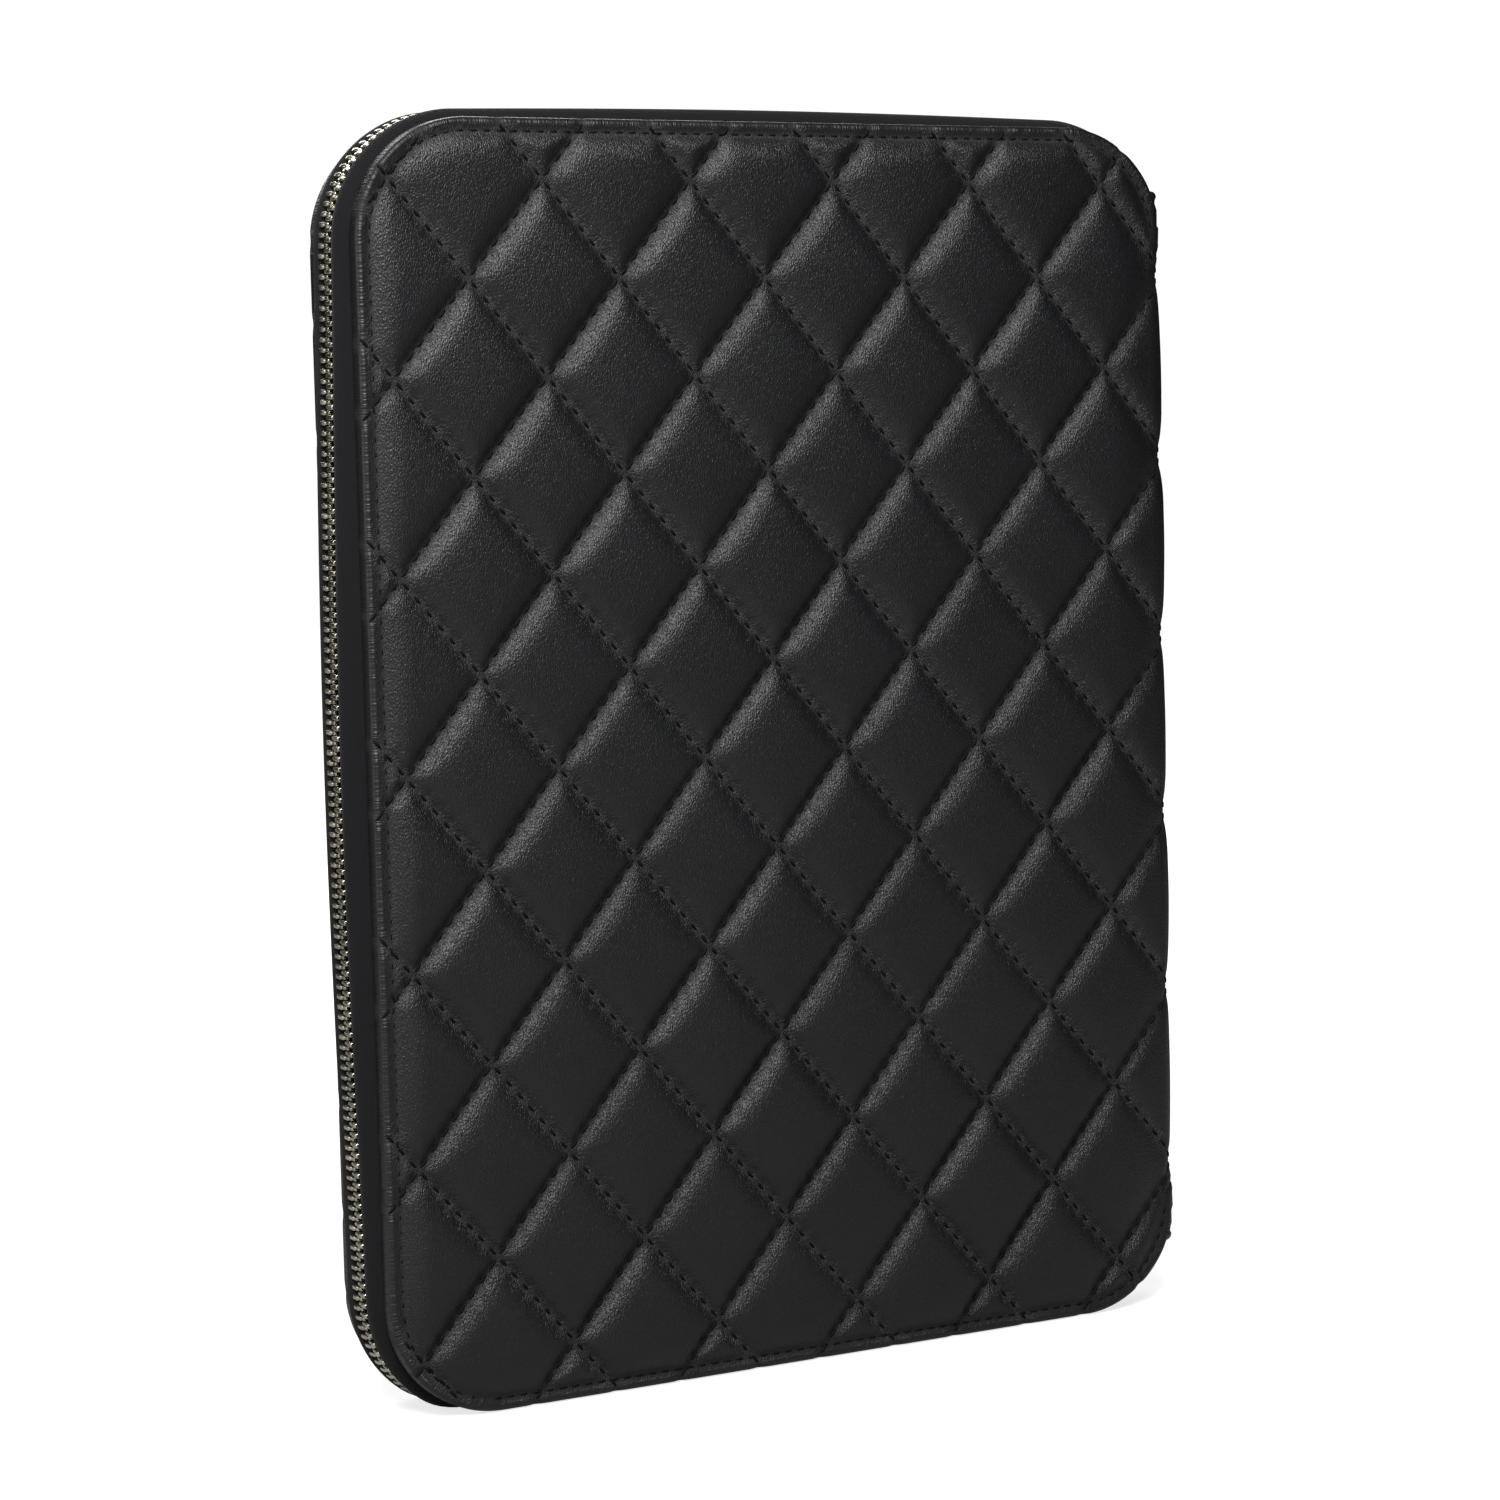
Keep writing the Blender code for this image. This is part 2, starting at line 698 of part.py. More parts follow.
def make_ring_roll(materials, home, tools):
    """The ring roll on its strap, with a rivet at one end and a snap at the other."""
    strap_end = RING_STRAP_WIDTH / 2
    strap = rounded_rectangle(
        RING_SNAP - RING_SNAP_TAB,
        RING_PIVOT + strap_end,
        RING_ROLL_HEIGHT - strap_end,
        RING_ROLL_HEIGHT + strap_end,
        strap_end * STRAP_END_SHARE,
        SMALL_ARC_STEPS,
    )
    rivet_hole = circle(RING_PIVOT, RING_ROLL_HEIGHT, RIVET_RADIUS + RUNNING_GAP, 14)
    layer(
        "ring_strap", [strap, rivet_hole], BACK, RING_STRAP_OUT, INSIDE, materials["leather"], home
    )
    roll_out = RING_STRAP_OUT - GAP - RING_ROLL_RADIUS
    roll = pin(
        "ring_roll",
        (RING_SNAP + RING_SNAP_TAB, roll_out, RING_ROLL_HEIGHT),
        (RING_PIVOT - RING_STRAP_TAB, roll_out, RING_ROLL_HEIGHT),
        RING_ROLL_RADIUS,
        materials["lining"],
        home,
        sides=20,
    )
    rounding = roll.modifiers.new("rounded_ends", "BEVEL")
    rounding.width = RING_ROLL_ROUNDING
    rounding.segments = 2
    rounding.limit_method = "ANGLE"
    rounding.angle_limit = radians(60)
    cap_out = RING_STRAP_OUT - GAP
    pin(
        "ring_snap_cap",
        (RING_SNAP, cap_out, RING_ROLL_HEIGHT),
        (RING_SNAP, cap_out - SNAP_HEIGHT, RING_ROLL_HEIGHT),
        SNAP_RADIUS,
        materials["metal"],
        home,
        end_radius=SNAP_RADIUS * DOME_SHARE,
    )
    pin(
        "ring_snap_socket",
        (RING_SNAP, LINING_FACE - GAP / 2, RING_ROLL_HEIGHT),
        (RING_SNAP, INSIDE + GAP / 2, RING_ROLL_HEIGHT),
        SNAP_RADIUS,
        materials["metal"],
        home,
    )
    rivet = pin(
        "ring_rivet",
        (RING_PIVOT, INSIDE + GAP / 2, RING_ROLL_HEIGHT),
        (RING_PIVOT, cap_out - SKIN / 2, RING_ROLL_HEIGHT),
        RIVET_RADIUS,
        materials["metal"],
        home,
    )
    head = pin(
        "ring_rivet_head",
        (RING_PIVOT, cap_out, RING_ROLL_HEIGHT),
        (RING_PIVOT, cap_out - SNAP_HEIGHT, RING_ROLL_HEIGHT),
        RIVET_HEAD_RADIUS,
        materials["metal"],
        tools,
        end_radius=RIVET_HEAD_RADIUS * DOME_SHARE,
    )
    combine(rivet, head, "UNION")


def make_pocket(word, side, depth, height, materials, home, tools):
    """An open-topped pocket on a lining: a wall on two gussets and a bottom one."""
    top = POCKET_BASE + height
    outline = rounded_rectangle(
        INSIDE_LEFT, INSIDE_RIGHT, POCKET_BASE, top, POCKET_CORNER, SMALL_ARC_STEPS
    )
    pocket = layer(
        word + "_pocket", [outline], side, INSIDE - depth, INSIDE, materials["leather"], home
    )
    room = layer(
        word + "_pocket_room",
        [
            rounded_rectangle(
                INSIDE_LEFT + POCKET_WALL,
                INSIDE_RIGHT - POCKET_WALL,
                POCKET_BASE + POCKET_WALL,
                top + POCKET_CORNER * 2,
                POCKET_CORNER - POCKET_WALL,
                SMALL_ARC_STEPS,
            )
        ],
        side,
        INSIDE - depth + POCKET_WALL,
        INSIDE + GAP,
        materials["tool"],
        tools,
    )
    combine(pocket, room, "DIFFERENCE")


def make_earring_panel(materials, home):
    """A flat leather panel with pairs of holes, on the front lining."""
    outlines = [
        rounded_rectangle(
            INSIDE_LEFT, INSIDE_RIGHT, PANEL_BASE, PANEL_TOP, PANEL_CORNER, SMALL_ARC_STEPS
        )
    ]
    column_pitch = (INSIDE_RIGHT - INSIDE_LEFT) / EARRING_COLUMNS
    row_pitch = (PANEL_TOP - PANEL_BASE) / EARRING_ROWS
    for column in range(EARRING_COLUMNS):
        for row in range(EARRING_ROWS):
            x = INSIDE_LEFT + (column + 0.5) * column_pitch
            z = PANEL_BASE + (row + 0.5) * row_pitch
            for shift in (-EARRING_PAIR / 2, EARRING_PAIR / 2):
                outlines.append(circle(x + shift, z, EARRING_HOLE_RADIUS, 6))
    layer(
        "earring_panel",
        outlines,
        FRONT,
        INSIDE - PANEL_THICKNESS,
        INSIDE,
        materials["leather"],
        home,
    )


def make_necklace_straps(materials, home):
    """Short straps with snaps, which hold chains against the front lining."""
    half = NECKLACE_STRAP_WIDTH / 2
    middle = (INSIDE_LEFT + INSIDE_RIGHT) / 2
    for index in range(NECKLACE_STRAPS):
        x = middle + (index - (NECKLACE_STRAPS - 1) / 2) * NECKLACE_PITCH
        outline = rounded_rectangle(
            x - half,
            x + half,
            NECKLACE_STRAP_BASE,
            NECKLACE_STRAP_BASE + NECKLACE_STRAP_LENGTH,
            half * STRAP_END_SHARE,
            SMALL_ARC_STEPS,
        )
        number = str(index + 1)
        layer(
            "necklace_strap_" + number,
            [outline],
            FRONT,
            INSIDE - STRAP,
            INSIDE,
            materials["leather"],
            home,
        )
        z = NECKLACE_STRAP_BASE + half + GAP
        face = INSIDE - STRAP - GAP
        pin(
            "necklace_snap_" + number,
            (x, FRONT * face, z),
            (x, FRONT * (face - SNAP_HEIGHT), z),
            NECKLACE_SNAP_RADIUS,
            materials["metal"],
            home,
            end_radius=NECKLACE_SNAP_TOP_RADIUS,
        )


def hang(axis_name, place, starts, home, carrier=None):
    """Parents the pieces whose names start so to an empty that stands on their joint's axis."""
    pieces = [piece for piece in home.objects if piece.name.startswith(starts)]
    axis = bpy.data.objects.new(axis_name, None)
    axis.empty_display_size = CASE_DEPTH
    axis.location = place
    home.objects.link(axis)
    for piece in pieces:
        piece.parent = axis
        piece.matrix_parent_inverse = Matrix.Translation(-Vector(place))
    if carrier is not None:
        axis.parent = carrier
        axis.matrix_parent_inverse = Matrix.Translation(-carrier.location)
    return axis


def make_joint_axes(home):
    """Empties on each joint's axis, with what turns or slides there."""
    fold = hang("back_fold_axis", (FOLD, RIM_FACE, 0), "spine_", home)
    moving_front = ("front_", "necklace_", "earring_")
    hang("forward_fold_axis", (FOLD, -RIM_FACE, 0), moving_front, home, fold)
    run = hang("slider_run", (SLIDER_REST, 0, ZIP_RECESS), "zip_slider", home)
    pivot = (SLIDER_REST, 0, ZIP_RECESS - PULL_PIVOT_DROP)
    hang("pull_axis", pivot, "zip_pull", home, run)
    turning = ("ring_strap", "ring_roll", "ring_snap_cap")
    hang("roll_axis", (RING_PIVOT, RING_STRAP_OUT, RING_ROLL_HEIGHT), turning, home)


def main():
    for leftover in list(bpy.data.objects):
        bpy.data.objects.remove(leftover)
    home = collection_named("jewellery_case")
    tools = collection_named("tools")
    materials = {
        "leather": finish("black_lambskin", (0.018, 0.018, 0.020), 0.42),
        "foam": finish("wadding", (0.62, 0.60, 0.55), 0.95),
        "board": finish("millboard", (0.30, 0.24, 0.18), 0.90),
        "lining": finish("grey_suede_lining", (0.09, 0.085, 0.08), 0.95),
        "tape": finish("black_twill_tape", (0.012, 0.012, 0.014), 0.85),
        "metal": finish("pale_nickel", (0.62, 0.59, 0.50), 0.28, 1.0),
        "tool": finish("tool", (0.8, 0.2, 0.2), 0.9),
    }
    for word, side in (("front", FRONT), ("back", BACK)):
        make_cover(word, side, materials, home, tools)
    make_spine(materials, home, tools)
    make_zip(materials, home)
    make_slider(materials, home, tools)
    make_ring_roll(materials, home, tools)
    make_pocket("back", BACK, BACK_POCKET_DEPTH, BACK_POCKET_HEIGHT, materials, home, tools)
    make_pocket("front", FRONT, FRONT_POCKET_DEPTH, FRONT_POCKET_HEIGHT, materials, home, tools)
    make_earring_panel(materials, home)
    make_necklace_straps(materials, home)
    make_joint_axes(home)


main()
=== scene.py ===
"""Looks of a zip-around jewellery case in quilted black lambskin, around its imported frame."""

import json
from math import cos, pi, radians, sin, sqrt

import bpy
import numpy as np
from mathutils import Euler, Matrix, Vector


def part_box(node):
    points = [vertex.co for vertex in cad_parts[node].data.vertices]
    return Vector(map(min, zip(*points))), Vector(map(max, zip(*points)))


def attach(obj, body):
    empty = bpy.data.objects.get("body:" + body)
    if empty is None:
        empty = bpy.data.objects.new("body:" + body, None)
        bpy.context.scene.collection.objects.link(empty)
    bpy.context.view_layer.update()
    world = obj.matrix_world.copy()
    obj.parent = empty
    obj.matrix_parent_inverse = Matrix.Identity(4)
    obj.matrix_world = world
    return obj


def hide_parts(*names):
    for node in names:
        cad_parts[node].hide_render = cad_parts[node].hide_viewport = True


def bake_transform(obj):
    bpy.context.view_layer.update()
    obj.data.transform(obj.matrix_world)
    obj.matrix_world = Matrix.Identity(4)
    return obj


bl_info = {
    "name": "Quilted Jewellery Case",
    "version": (1, 0, 0),
    "blender": (4, 5, 0),
    "location": "View3D > Sidebar > Jewellery Case",
    "description": "Builds the leather, stitching, zip and fittings of a zip-around case",
    "category": "Add Mesh",
}

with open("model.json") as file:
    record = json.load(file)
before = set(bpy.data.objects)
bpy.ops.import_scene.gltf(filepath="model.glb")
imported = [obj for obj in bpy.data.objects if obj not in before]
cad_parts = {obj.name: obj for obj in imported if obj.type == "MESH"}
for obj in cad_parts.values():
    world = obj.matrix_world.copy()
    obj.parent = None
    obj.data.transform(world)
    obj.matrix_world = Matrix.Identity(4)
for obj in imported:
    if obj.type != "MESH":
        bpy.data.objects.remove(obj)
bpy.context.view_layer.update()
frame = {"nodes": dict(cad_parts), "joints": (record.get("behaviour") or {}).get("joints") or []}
JOINTS = {joint["name"]: joint for joint in frame["joints"]}
FOLD, RIM = JOINTS["front_cover_fold"]["pos_m"][0], -JOINTS["front_cover_fold"]["pos_m"][1]
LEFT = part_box("front_leather")[0].x
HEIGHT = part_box("front_leather")[1].z
WIDTH = FOLD - LEFT
TURN_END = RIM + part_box("front_leather")[1].y  # depth of leather turned over a free edge
SPINE_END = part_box("spine_leather")[0].z
FRONT, BACK = -1, 1
COVER = {FRONT: "front_cover", BACK: "back_cover"}
WORD = {FRONT: "front", BACK: "back"}
MM = 0.001

# How fine the made surfaces are
CELLS = 21  # quads along half a diamond
SEAM_STITCHES = 7  # along one side of a diamond
ROUTE_STEP = 0.25 * MM

# The quilting's lesser sizes
SCALLOP = 0.55 * MM  # how far the leather bulges over a seam between two stitches
SCALLOP_REACH = 2 * MM
CALM_SHARE = 0.62  # of the puff that is lost beside the fold
CALM_REACH = 7 * MM
DROP_OUTSIDE = 0.9 * MM  # from a cover's edge down to the spine's ends
SPINE_SWELL = 1.6 * MM  # of the skin at the spine's ends
SLOW_WAVE = 0.25 * MM  # unevenness from one diamond to the next
WRINKLE_REACH = 2.3 * MM  # from a seam
CREASE_REACH = 0.75 * MM
THREAD_PROUD = 0.12 * MM  # of the seams' bottom
STITCH_SHARE = 0.72  # of each stitch's pitch that shows as thread


def size_setting(name, description, default):
    """A length that the user can change."""
    return bpy.props.FloatProperty(
        name=name, description=description, default=default, unit="LENGTH"
    )


def colour_setting(name, description, default):
    """A colour that the user can change."""
    return bpy.props.FloatVectorProperty(
        name=name, description=description, default=default, subtype="COLOR"
    )


class LeatherSettings(bpy.types.PropertyGroup):
    """Sizes and colours of the quilted leather."""

    half_across: size_setting(
        "Half diamond across", "From a diamond's corner to its middle, across the case", 0.0165
    )
    half_down: size_setting(
        "Half diamond down", "From a diamond's corner to its middle, down the case", 0.0192
    )
    first_across: size_setting(
        "First crossing across", "From the free edge to the first crossing of two seams", 0.007
    )
    first_down: size_setting(
        "First crossing down", "From the top edge to the first crossing of two seams", 0.0118
    )
    corner: size_setting("Corner radius", "Of a cover's corners", 0.024)
    fold: size_setting("Fold radius", "Of the leather where it turns on to the spine", 0.004)
    stitch_inset: size_setting(
        "Edge stitch inset", "From a cover's edge to the row of stitches", 0.0027
    )
    rise: size_setting("Quilting rise", "Of a diamond's shoulder above its seams", 0.0019)
    shoulder: size_setting(
        "Shoulder width", "From a seam to where a diamond is nearly level", 0.0052
    )
    crown: size_setting("Crown", "Extra height of a diamond's middle", 0.0006)
    rim_rise: size_setting("Rim rise", "Of the rolled rim", 0.0007)
    colour: colour_setting("Leather colour", "Of the dyed lambskin", (0.0028, 0.003, 0.0035))
    thread_colour: colour_setting(
        "Thread colour", "Of the seams' thread", (0.0012, 0.0012, 0.0014)
    )


class ZipSettings(bpy.types.PropertyGroup):
    """Sizes and colours of the zip."""

    pitch: size_setting("Tooth pitch", "Between neighbouring teeth of one row", 0.002)
    tooth_length: size_setting("Tooth length", "Across the chain", 0.0035)
    tooth_width: size_setting("Tooth width", "Along the chain", 0.00094)
    tooth_height: size_setting("Tooth height", "Through the chain", 0.0022)
    stand: size_setting(
        "Stand", "How far the chain stands proud of the rims at the corners", 0.0006
    )
    side_bulge: size_setting("Side bulge", "Extra stand half way up the free side", 0.0019)
    top_bulge: size_setting("Top bulge", "Extra stand half way along the top", 0.0012)
    metal_colour: colour_setting("Metal colour", "Of teeth, slider and stops", (0.44, 0.415, 0.34))
    tape_colour: colour_setting("Tape colour", "Of the woven tape", (0.0028, 0.0028, 0.0034))


class StageSettings(bpy.types.PropertyGroup):
    """Camera and lights."""

    lens: bpy.props.FloatProperty(
        name="Lens", description="Focal length", default=93.2, unit="CAMERA"
    )
    camera_place: bpy.props.FloatVectorProperty(
        name="Camera place",
        description="Where the camera stands",
        subtype="TRANSLATION",
        default=(-0.3993, -0.6930, 0.1956),
    )
    camera_turn: bpy.props.FloatVectorProperty(
        name="Camera turn",
        description="Rotation of the camera",
        subtype="EULER",
        default=(radians(85.05), radians(1.38), radians(-29.84)),
    )
    key: bpy.props.FloatProperty(
        name="Key light", description="Power of the large soft light", default=24.0, unit="POWER"
    )
    fill: bpy.props.FloatProperty(
        name="Room light", description="Brightness of the room", default=0.015, min=0.0
    )


def settings():
    """The scene's own values for the leather, the zip and the stage."""
    scene = bpy.context.scene
    return scene.case_leather, scene.case_zip, scene.case_stage


# Small modelling helpers


def begin():
    """Leaves edit mode with nothing selected."""
    if bpy.context.object and bpy.context.object.mode != "OBJECT":
        bpy.ops.object.mode_set(mode="OBJECT")
    bpy.ops.object.select_all(action="DESELECT")


def named(name):
    """Names the active object and its mesh."""
    piece = bpy.context.object
    piece.name = name
    piece.data.name = name
    return piece


def only(piece):
    """Makes one object the active and only selected one."""
    begin()
    piece.select_set(True)
    bpy.context.view_layer.objects.active = piece


def settle(piece):
    """Moves an object's place into its mesh."""
    only(piece)
    bpy.ops.object.transform_apply(location=True, rotation=True, scale=True)
    return piece


def points_of(piece):
    """A mesh's vertices, one row each."""
    found = np.empty(len(piece.data.vertices) * 3)
    piece.data.vertices.foreach_get("co", found)
    return found.reshape(-1, 3)


def move_points(piece, places):
    """Puts a mesh's vertices at new places."""
    piece.data.vertices.foreach_set("co", np.asarray(places, np.float32).ravel())
    piece.data.update()


def pick(piece, flags, kind="vertices"):
    """Selects the flagged vertices, edges or faces, from object mode."""
    for name in ("vertices", "edges", "polygons"):
        items = getattr(piece.data, name)
        chosen = flags if name == kind else np.zeros(len(items), bool)
        items.foreach_set("select", np.asarray(chosen, bool))


def picked(piece):
    """Which vertices are selected."""
    flags = np.empty(len(piece.data.vertices), bool)
    piece.data.vertices.foreach_get("select", flags)
    return flags


def edit(piece, mode="VERT"):
    """Enters edit mode with what was picked still selected."""
    only(piece)
    kinds = [mode == kind for kind in ("VERT", "EDGE", "FACE")]
    bpy.context.scene.tool_settings.mesh_select_mode = kinds
    bpy.ops.object.mode_set(mode="EDIT")


def object_mode():
    """Leaves edit mode."""
    bpy.ops.object.mode_set(mode="OBJECT")


def face_outwards(piece):
    """Turns all faces of a closed mesh outwards."""
    edit(piece, "FACE")
    bpy.ops.mesh.select_all(action="SELECT")
    bpy.ops.mesh.normals_make_consistent(inside=False)
    object_mode()


def modify(piece, kind, **values):
    """Adds a modifier and applies it."""
    only(piece)
    modifier = piece.modifiers.new(kind.lower(), kind)
    for name, value in values.items():
        setattr(modifier, name, value)
    bpy.ops.object.modifier_apply(modifier=modifier.name)
    return piece


def round_edges(piece, width, segments, angle):
    """Bevels the edges that are sharper than an angle."""
    limit = {"limit_method": "ANGLE", "angle_limit": radians(angle)}
    modify(piece, "BEVEL", width=width, segments=segments, **limit)


def smooth(piece, angle=None):
    """Shades a piece smooth, with edges sharper than an angle kept sharp."""
    only(piece)
    if angle is None:
        bpy.ops.object.shade_smooth()
    else:
        bpy.ops.object.shade_smooth_by_angle(angle=radians(angle))
    return piece


def dress(piece, material):
    """Gives a piece its material."""
    piece.data.materials.clear()
    piece.data.materials.append(bpy.data.materials[material])
    return piece


def set_value(piece, name, values):
    """Writes one number per vertex, which a material can read."""
    attribute = piece.data.attributes.get(name) or piece.data.attributes.new(
        name, "FLOAT", "POINT"
    )
    attribute.data.foreach_set("value", np.asarray(values, np.float32))


def get_value(piece, name):
    """Reads back the numbers that set_value wrote."""
    values = np.empty(len(piece.data.vertices), np.float32)
    piece.data.attributes[name].data.foreach_get("value", values)
    return values.astype(float)


def lay_uv(piece, across, along):
    """Writes a UV map, in metres, from one pair of numbers per vertex."""
    layer = piece.data.uv_layers.get("surface") or piece.data.uv_layers.new(name="surface")
    corners = np.empty(len(piece.data.loops), np.int32)
    piece.data.loops.foreach_get("vertex_index", corners)
    pairs = np.stack([np.asarray(across)[corners], np.asarray(along)[corners]], axis=1)
    layer.data.foreach_set("uv", pairs.astype(np.float32).ravel())


def from_lists(name, places, faces):
    """A new piece from its places and the corners of its faces."""
    mesh = bpy.data.meshes.new(name)
    mesh.from_pydata(places.tolist(), [], faces)
    piece = bpy.data.objects.new(name, mesh)
    bpy.context.scene.collection.objects.link(piece)
    return piece


def copies(name, model, frames):
    """One piece made of a copy of a small model at each 4 by 4 frame."""
    source = points_of(model)
    count = len(source)
    flat = np.c_[source, np.ones(count)]
    places = np.einsum("nij,vj->nvi", frames, flat)[..., :3].reshape(-1, 3)
    faces = [list(face.vertices) for face in model.data.polygons]
    every = [[v + count * i for v in face] for i in range(len(frames)) for face in faces]
    piece = from_lists(name, places, every)
    bpy.data.objects.remove(model)
    piece.data.shade_smooth()
    return piece


def frames_of(places, along, outward):
    """A 4 by 4 frame at each place: X is along, Z is outward."""
    along = along / np.linalg.norm(along, axis=1, keepdims=True)
    outward = outward - along * (along * outward).sum(1, keepdims=True)
    outward = outward / np.linalg.norm(outward, axis=1, keepdims=True)
    across = np.cross(outward, along)
    made = np.zeros((len(places), 4, 4))
    made[:, :3, 0], made[:, :3, 1], made[:, :3, 2] = along, across, outward
    made[:, :3, 3], made[:, 3, 3] = places, 1
    return made


def ease(value, low, high):
    """From 0 at low to 1 at high, level at both ends. Arrays or numbers."""
    share = np.clip((value - low) / (high - low), 0, 1)
    return share * share * (3 - 2 * share)


def near_to(distance, reach):
    """From 1 at no distance, falling off like a bell over its reach."""
    return np.exp(-((distance / reach) ** 2))


def distances(path):
    """How far along a polyline each of its points is."""
    return np.r_[0, np.cumsum(np.linalg.norm(np.diff(path, axis=0), axis=1))]


def part_way(path, travelled, stops):
    """The rows of a path at given distances along it."""
    return np.stack([np.interp(stops, travelled, column) for column in path.T], axis=1)


# Materials


class Nodes:
    """Short ways to place shader nodes in a tree."""

    def __init__(self, tree):
        self.tree = tree

    def add(self, kind, **values):
        node = self.tree.nodes.new("ShaderNode" + kind)
        for name, value in values.items():
            setattr(node, name, value)
        return node

    def link(self, source, target):
        self.tree.links.new(source, target)

    def feed(self, socket, value):
        """Links a socket, or sets a plain value."""
        if hasattr(value, "is_output"):
            self.link(value, socket)
        else:
            socket.default_value = value

    def maths(self, operation, first, second=0.0, third=None):
        node = self.add("Math", operation=operation)
        self.feed(node.inputs[0], first)
        self.feed(node.inputs[1], second)
        if third is not None:
            self.feed(node.inputs[2], third)
        return node.outputs[0]

    def noise(self, vector, scale, detail=2.0, roughness=0.5, distortion=0.0):
        node = self.add("TexNoise")
        self.link(vector, node.inputs["Vector"])
        for name, value in (
            ("Scale", scale),
            ("Detail", detail),
            ("Roughness", roughness),
            ("Distortion", distortion),
        ):
            self.feed(node.inputs[name], value)
        return node.outputs["Fac"]

    def mapping(self, vector, scale=(1, 1, 1), turn=0.0):
        node = self.add("Mapping")
        self.link(vector, node.inputs["Vector"])
        node.inputs["Scale"].default_value = scale
        node.inputs["Rotation"].default_value = (0, 0, turn)
        return node.outputs[0]

    def spread(self, value, low, high, to_low=0.0, to_high=1.0):
        node = self.add("MapRange")
        self.feed(node.inputs["Value"], value)
        for name, number in (
            ("From Min", low),
            ("From Max", high),
            ("To Min", to_low),
            ("To Max", to_high),
        ):
            self.feed(node.inputs[name], number)
        return node.outputs["Result"]

    def mix(self, share, first, second, clamp=True):
        node = self.add("Mix", data_type="RGBA", clamp_factor=clamp)
        self.feed(node.inputs["Factor"], share)
        self.feed(node.inputs["A"], first)
        self.feed(node.inputs["B"], second)
        return node.outputs["Result"]

    def bump(self, height, strength, distance, normal=None):
        node = self.add("Bump")
        self.feed(node.inputs["Strength"], strength)
        node.inputs["Distance"].default_value = distance
        self.link(height, node.inputs["Height"])
        if normal is not None:
            self.link(normal, node.inputs["Normal"])
        return node.outputs["Normal"]


def new_group(name, inputs, outputs):
    """An empty node group with named sockets. Returns its Nodes, input node and output node."""
    tree = bpy.data.node_groups.new(name, "ShaderNodeTree")
    for label, kind in inputs:
        tree.interface.new_socket(label, in_out="INPUT", socket_type="NodeSocket" + kind)
    for label, kind in outputs:
        tree.interface.new_socket(label, in_out="OUTPUT", socket_type="NodeSocket" + kind)
    nodes = Nodes(tree)
    return nodes, tree.nodes.new("NodeGroupInput"), tree.nodes.new("NodeGroupOutput")


def use_group(nodes, name, **values):
    """Places a shared effect in a material with that material's own values."""
    node = nodes.tree.nodes.new("ShaderNodeGroup")
    node.node_tree = bpy.data.node_groups[name]
    for label, value in values.items():
        nodes.feed(node.inputs[label], value)
    return node.outputs


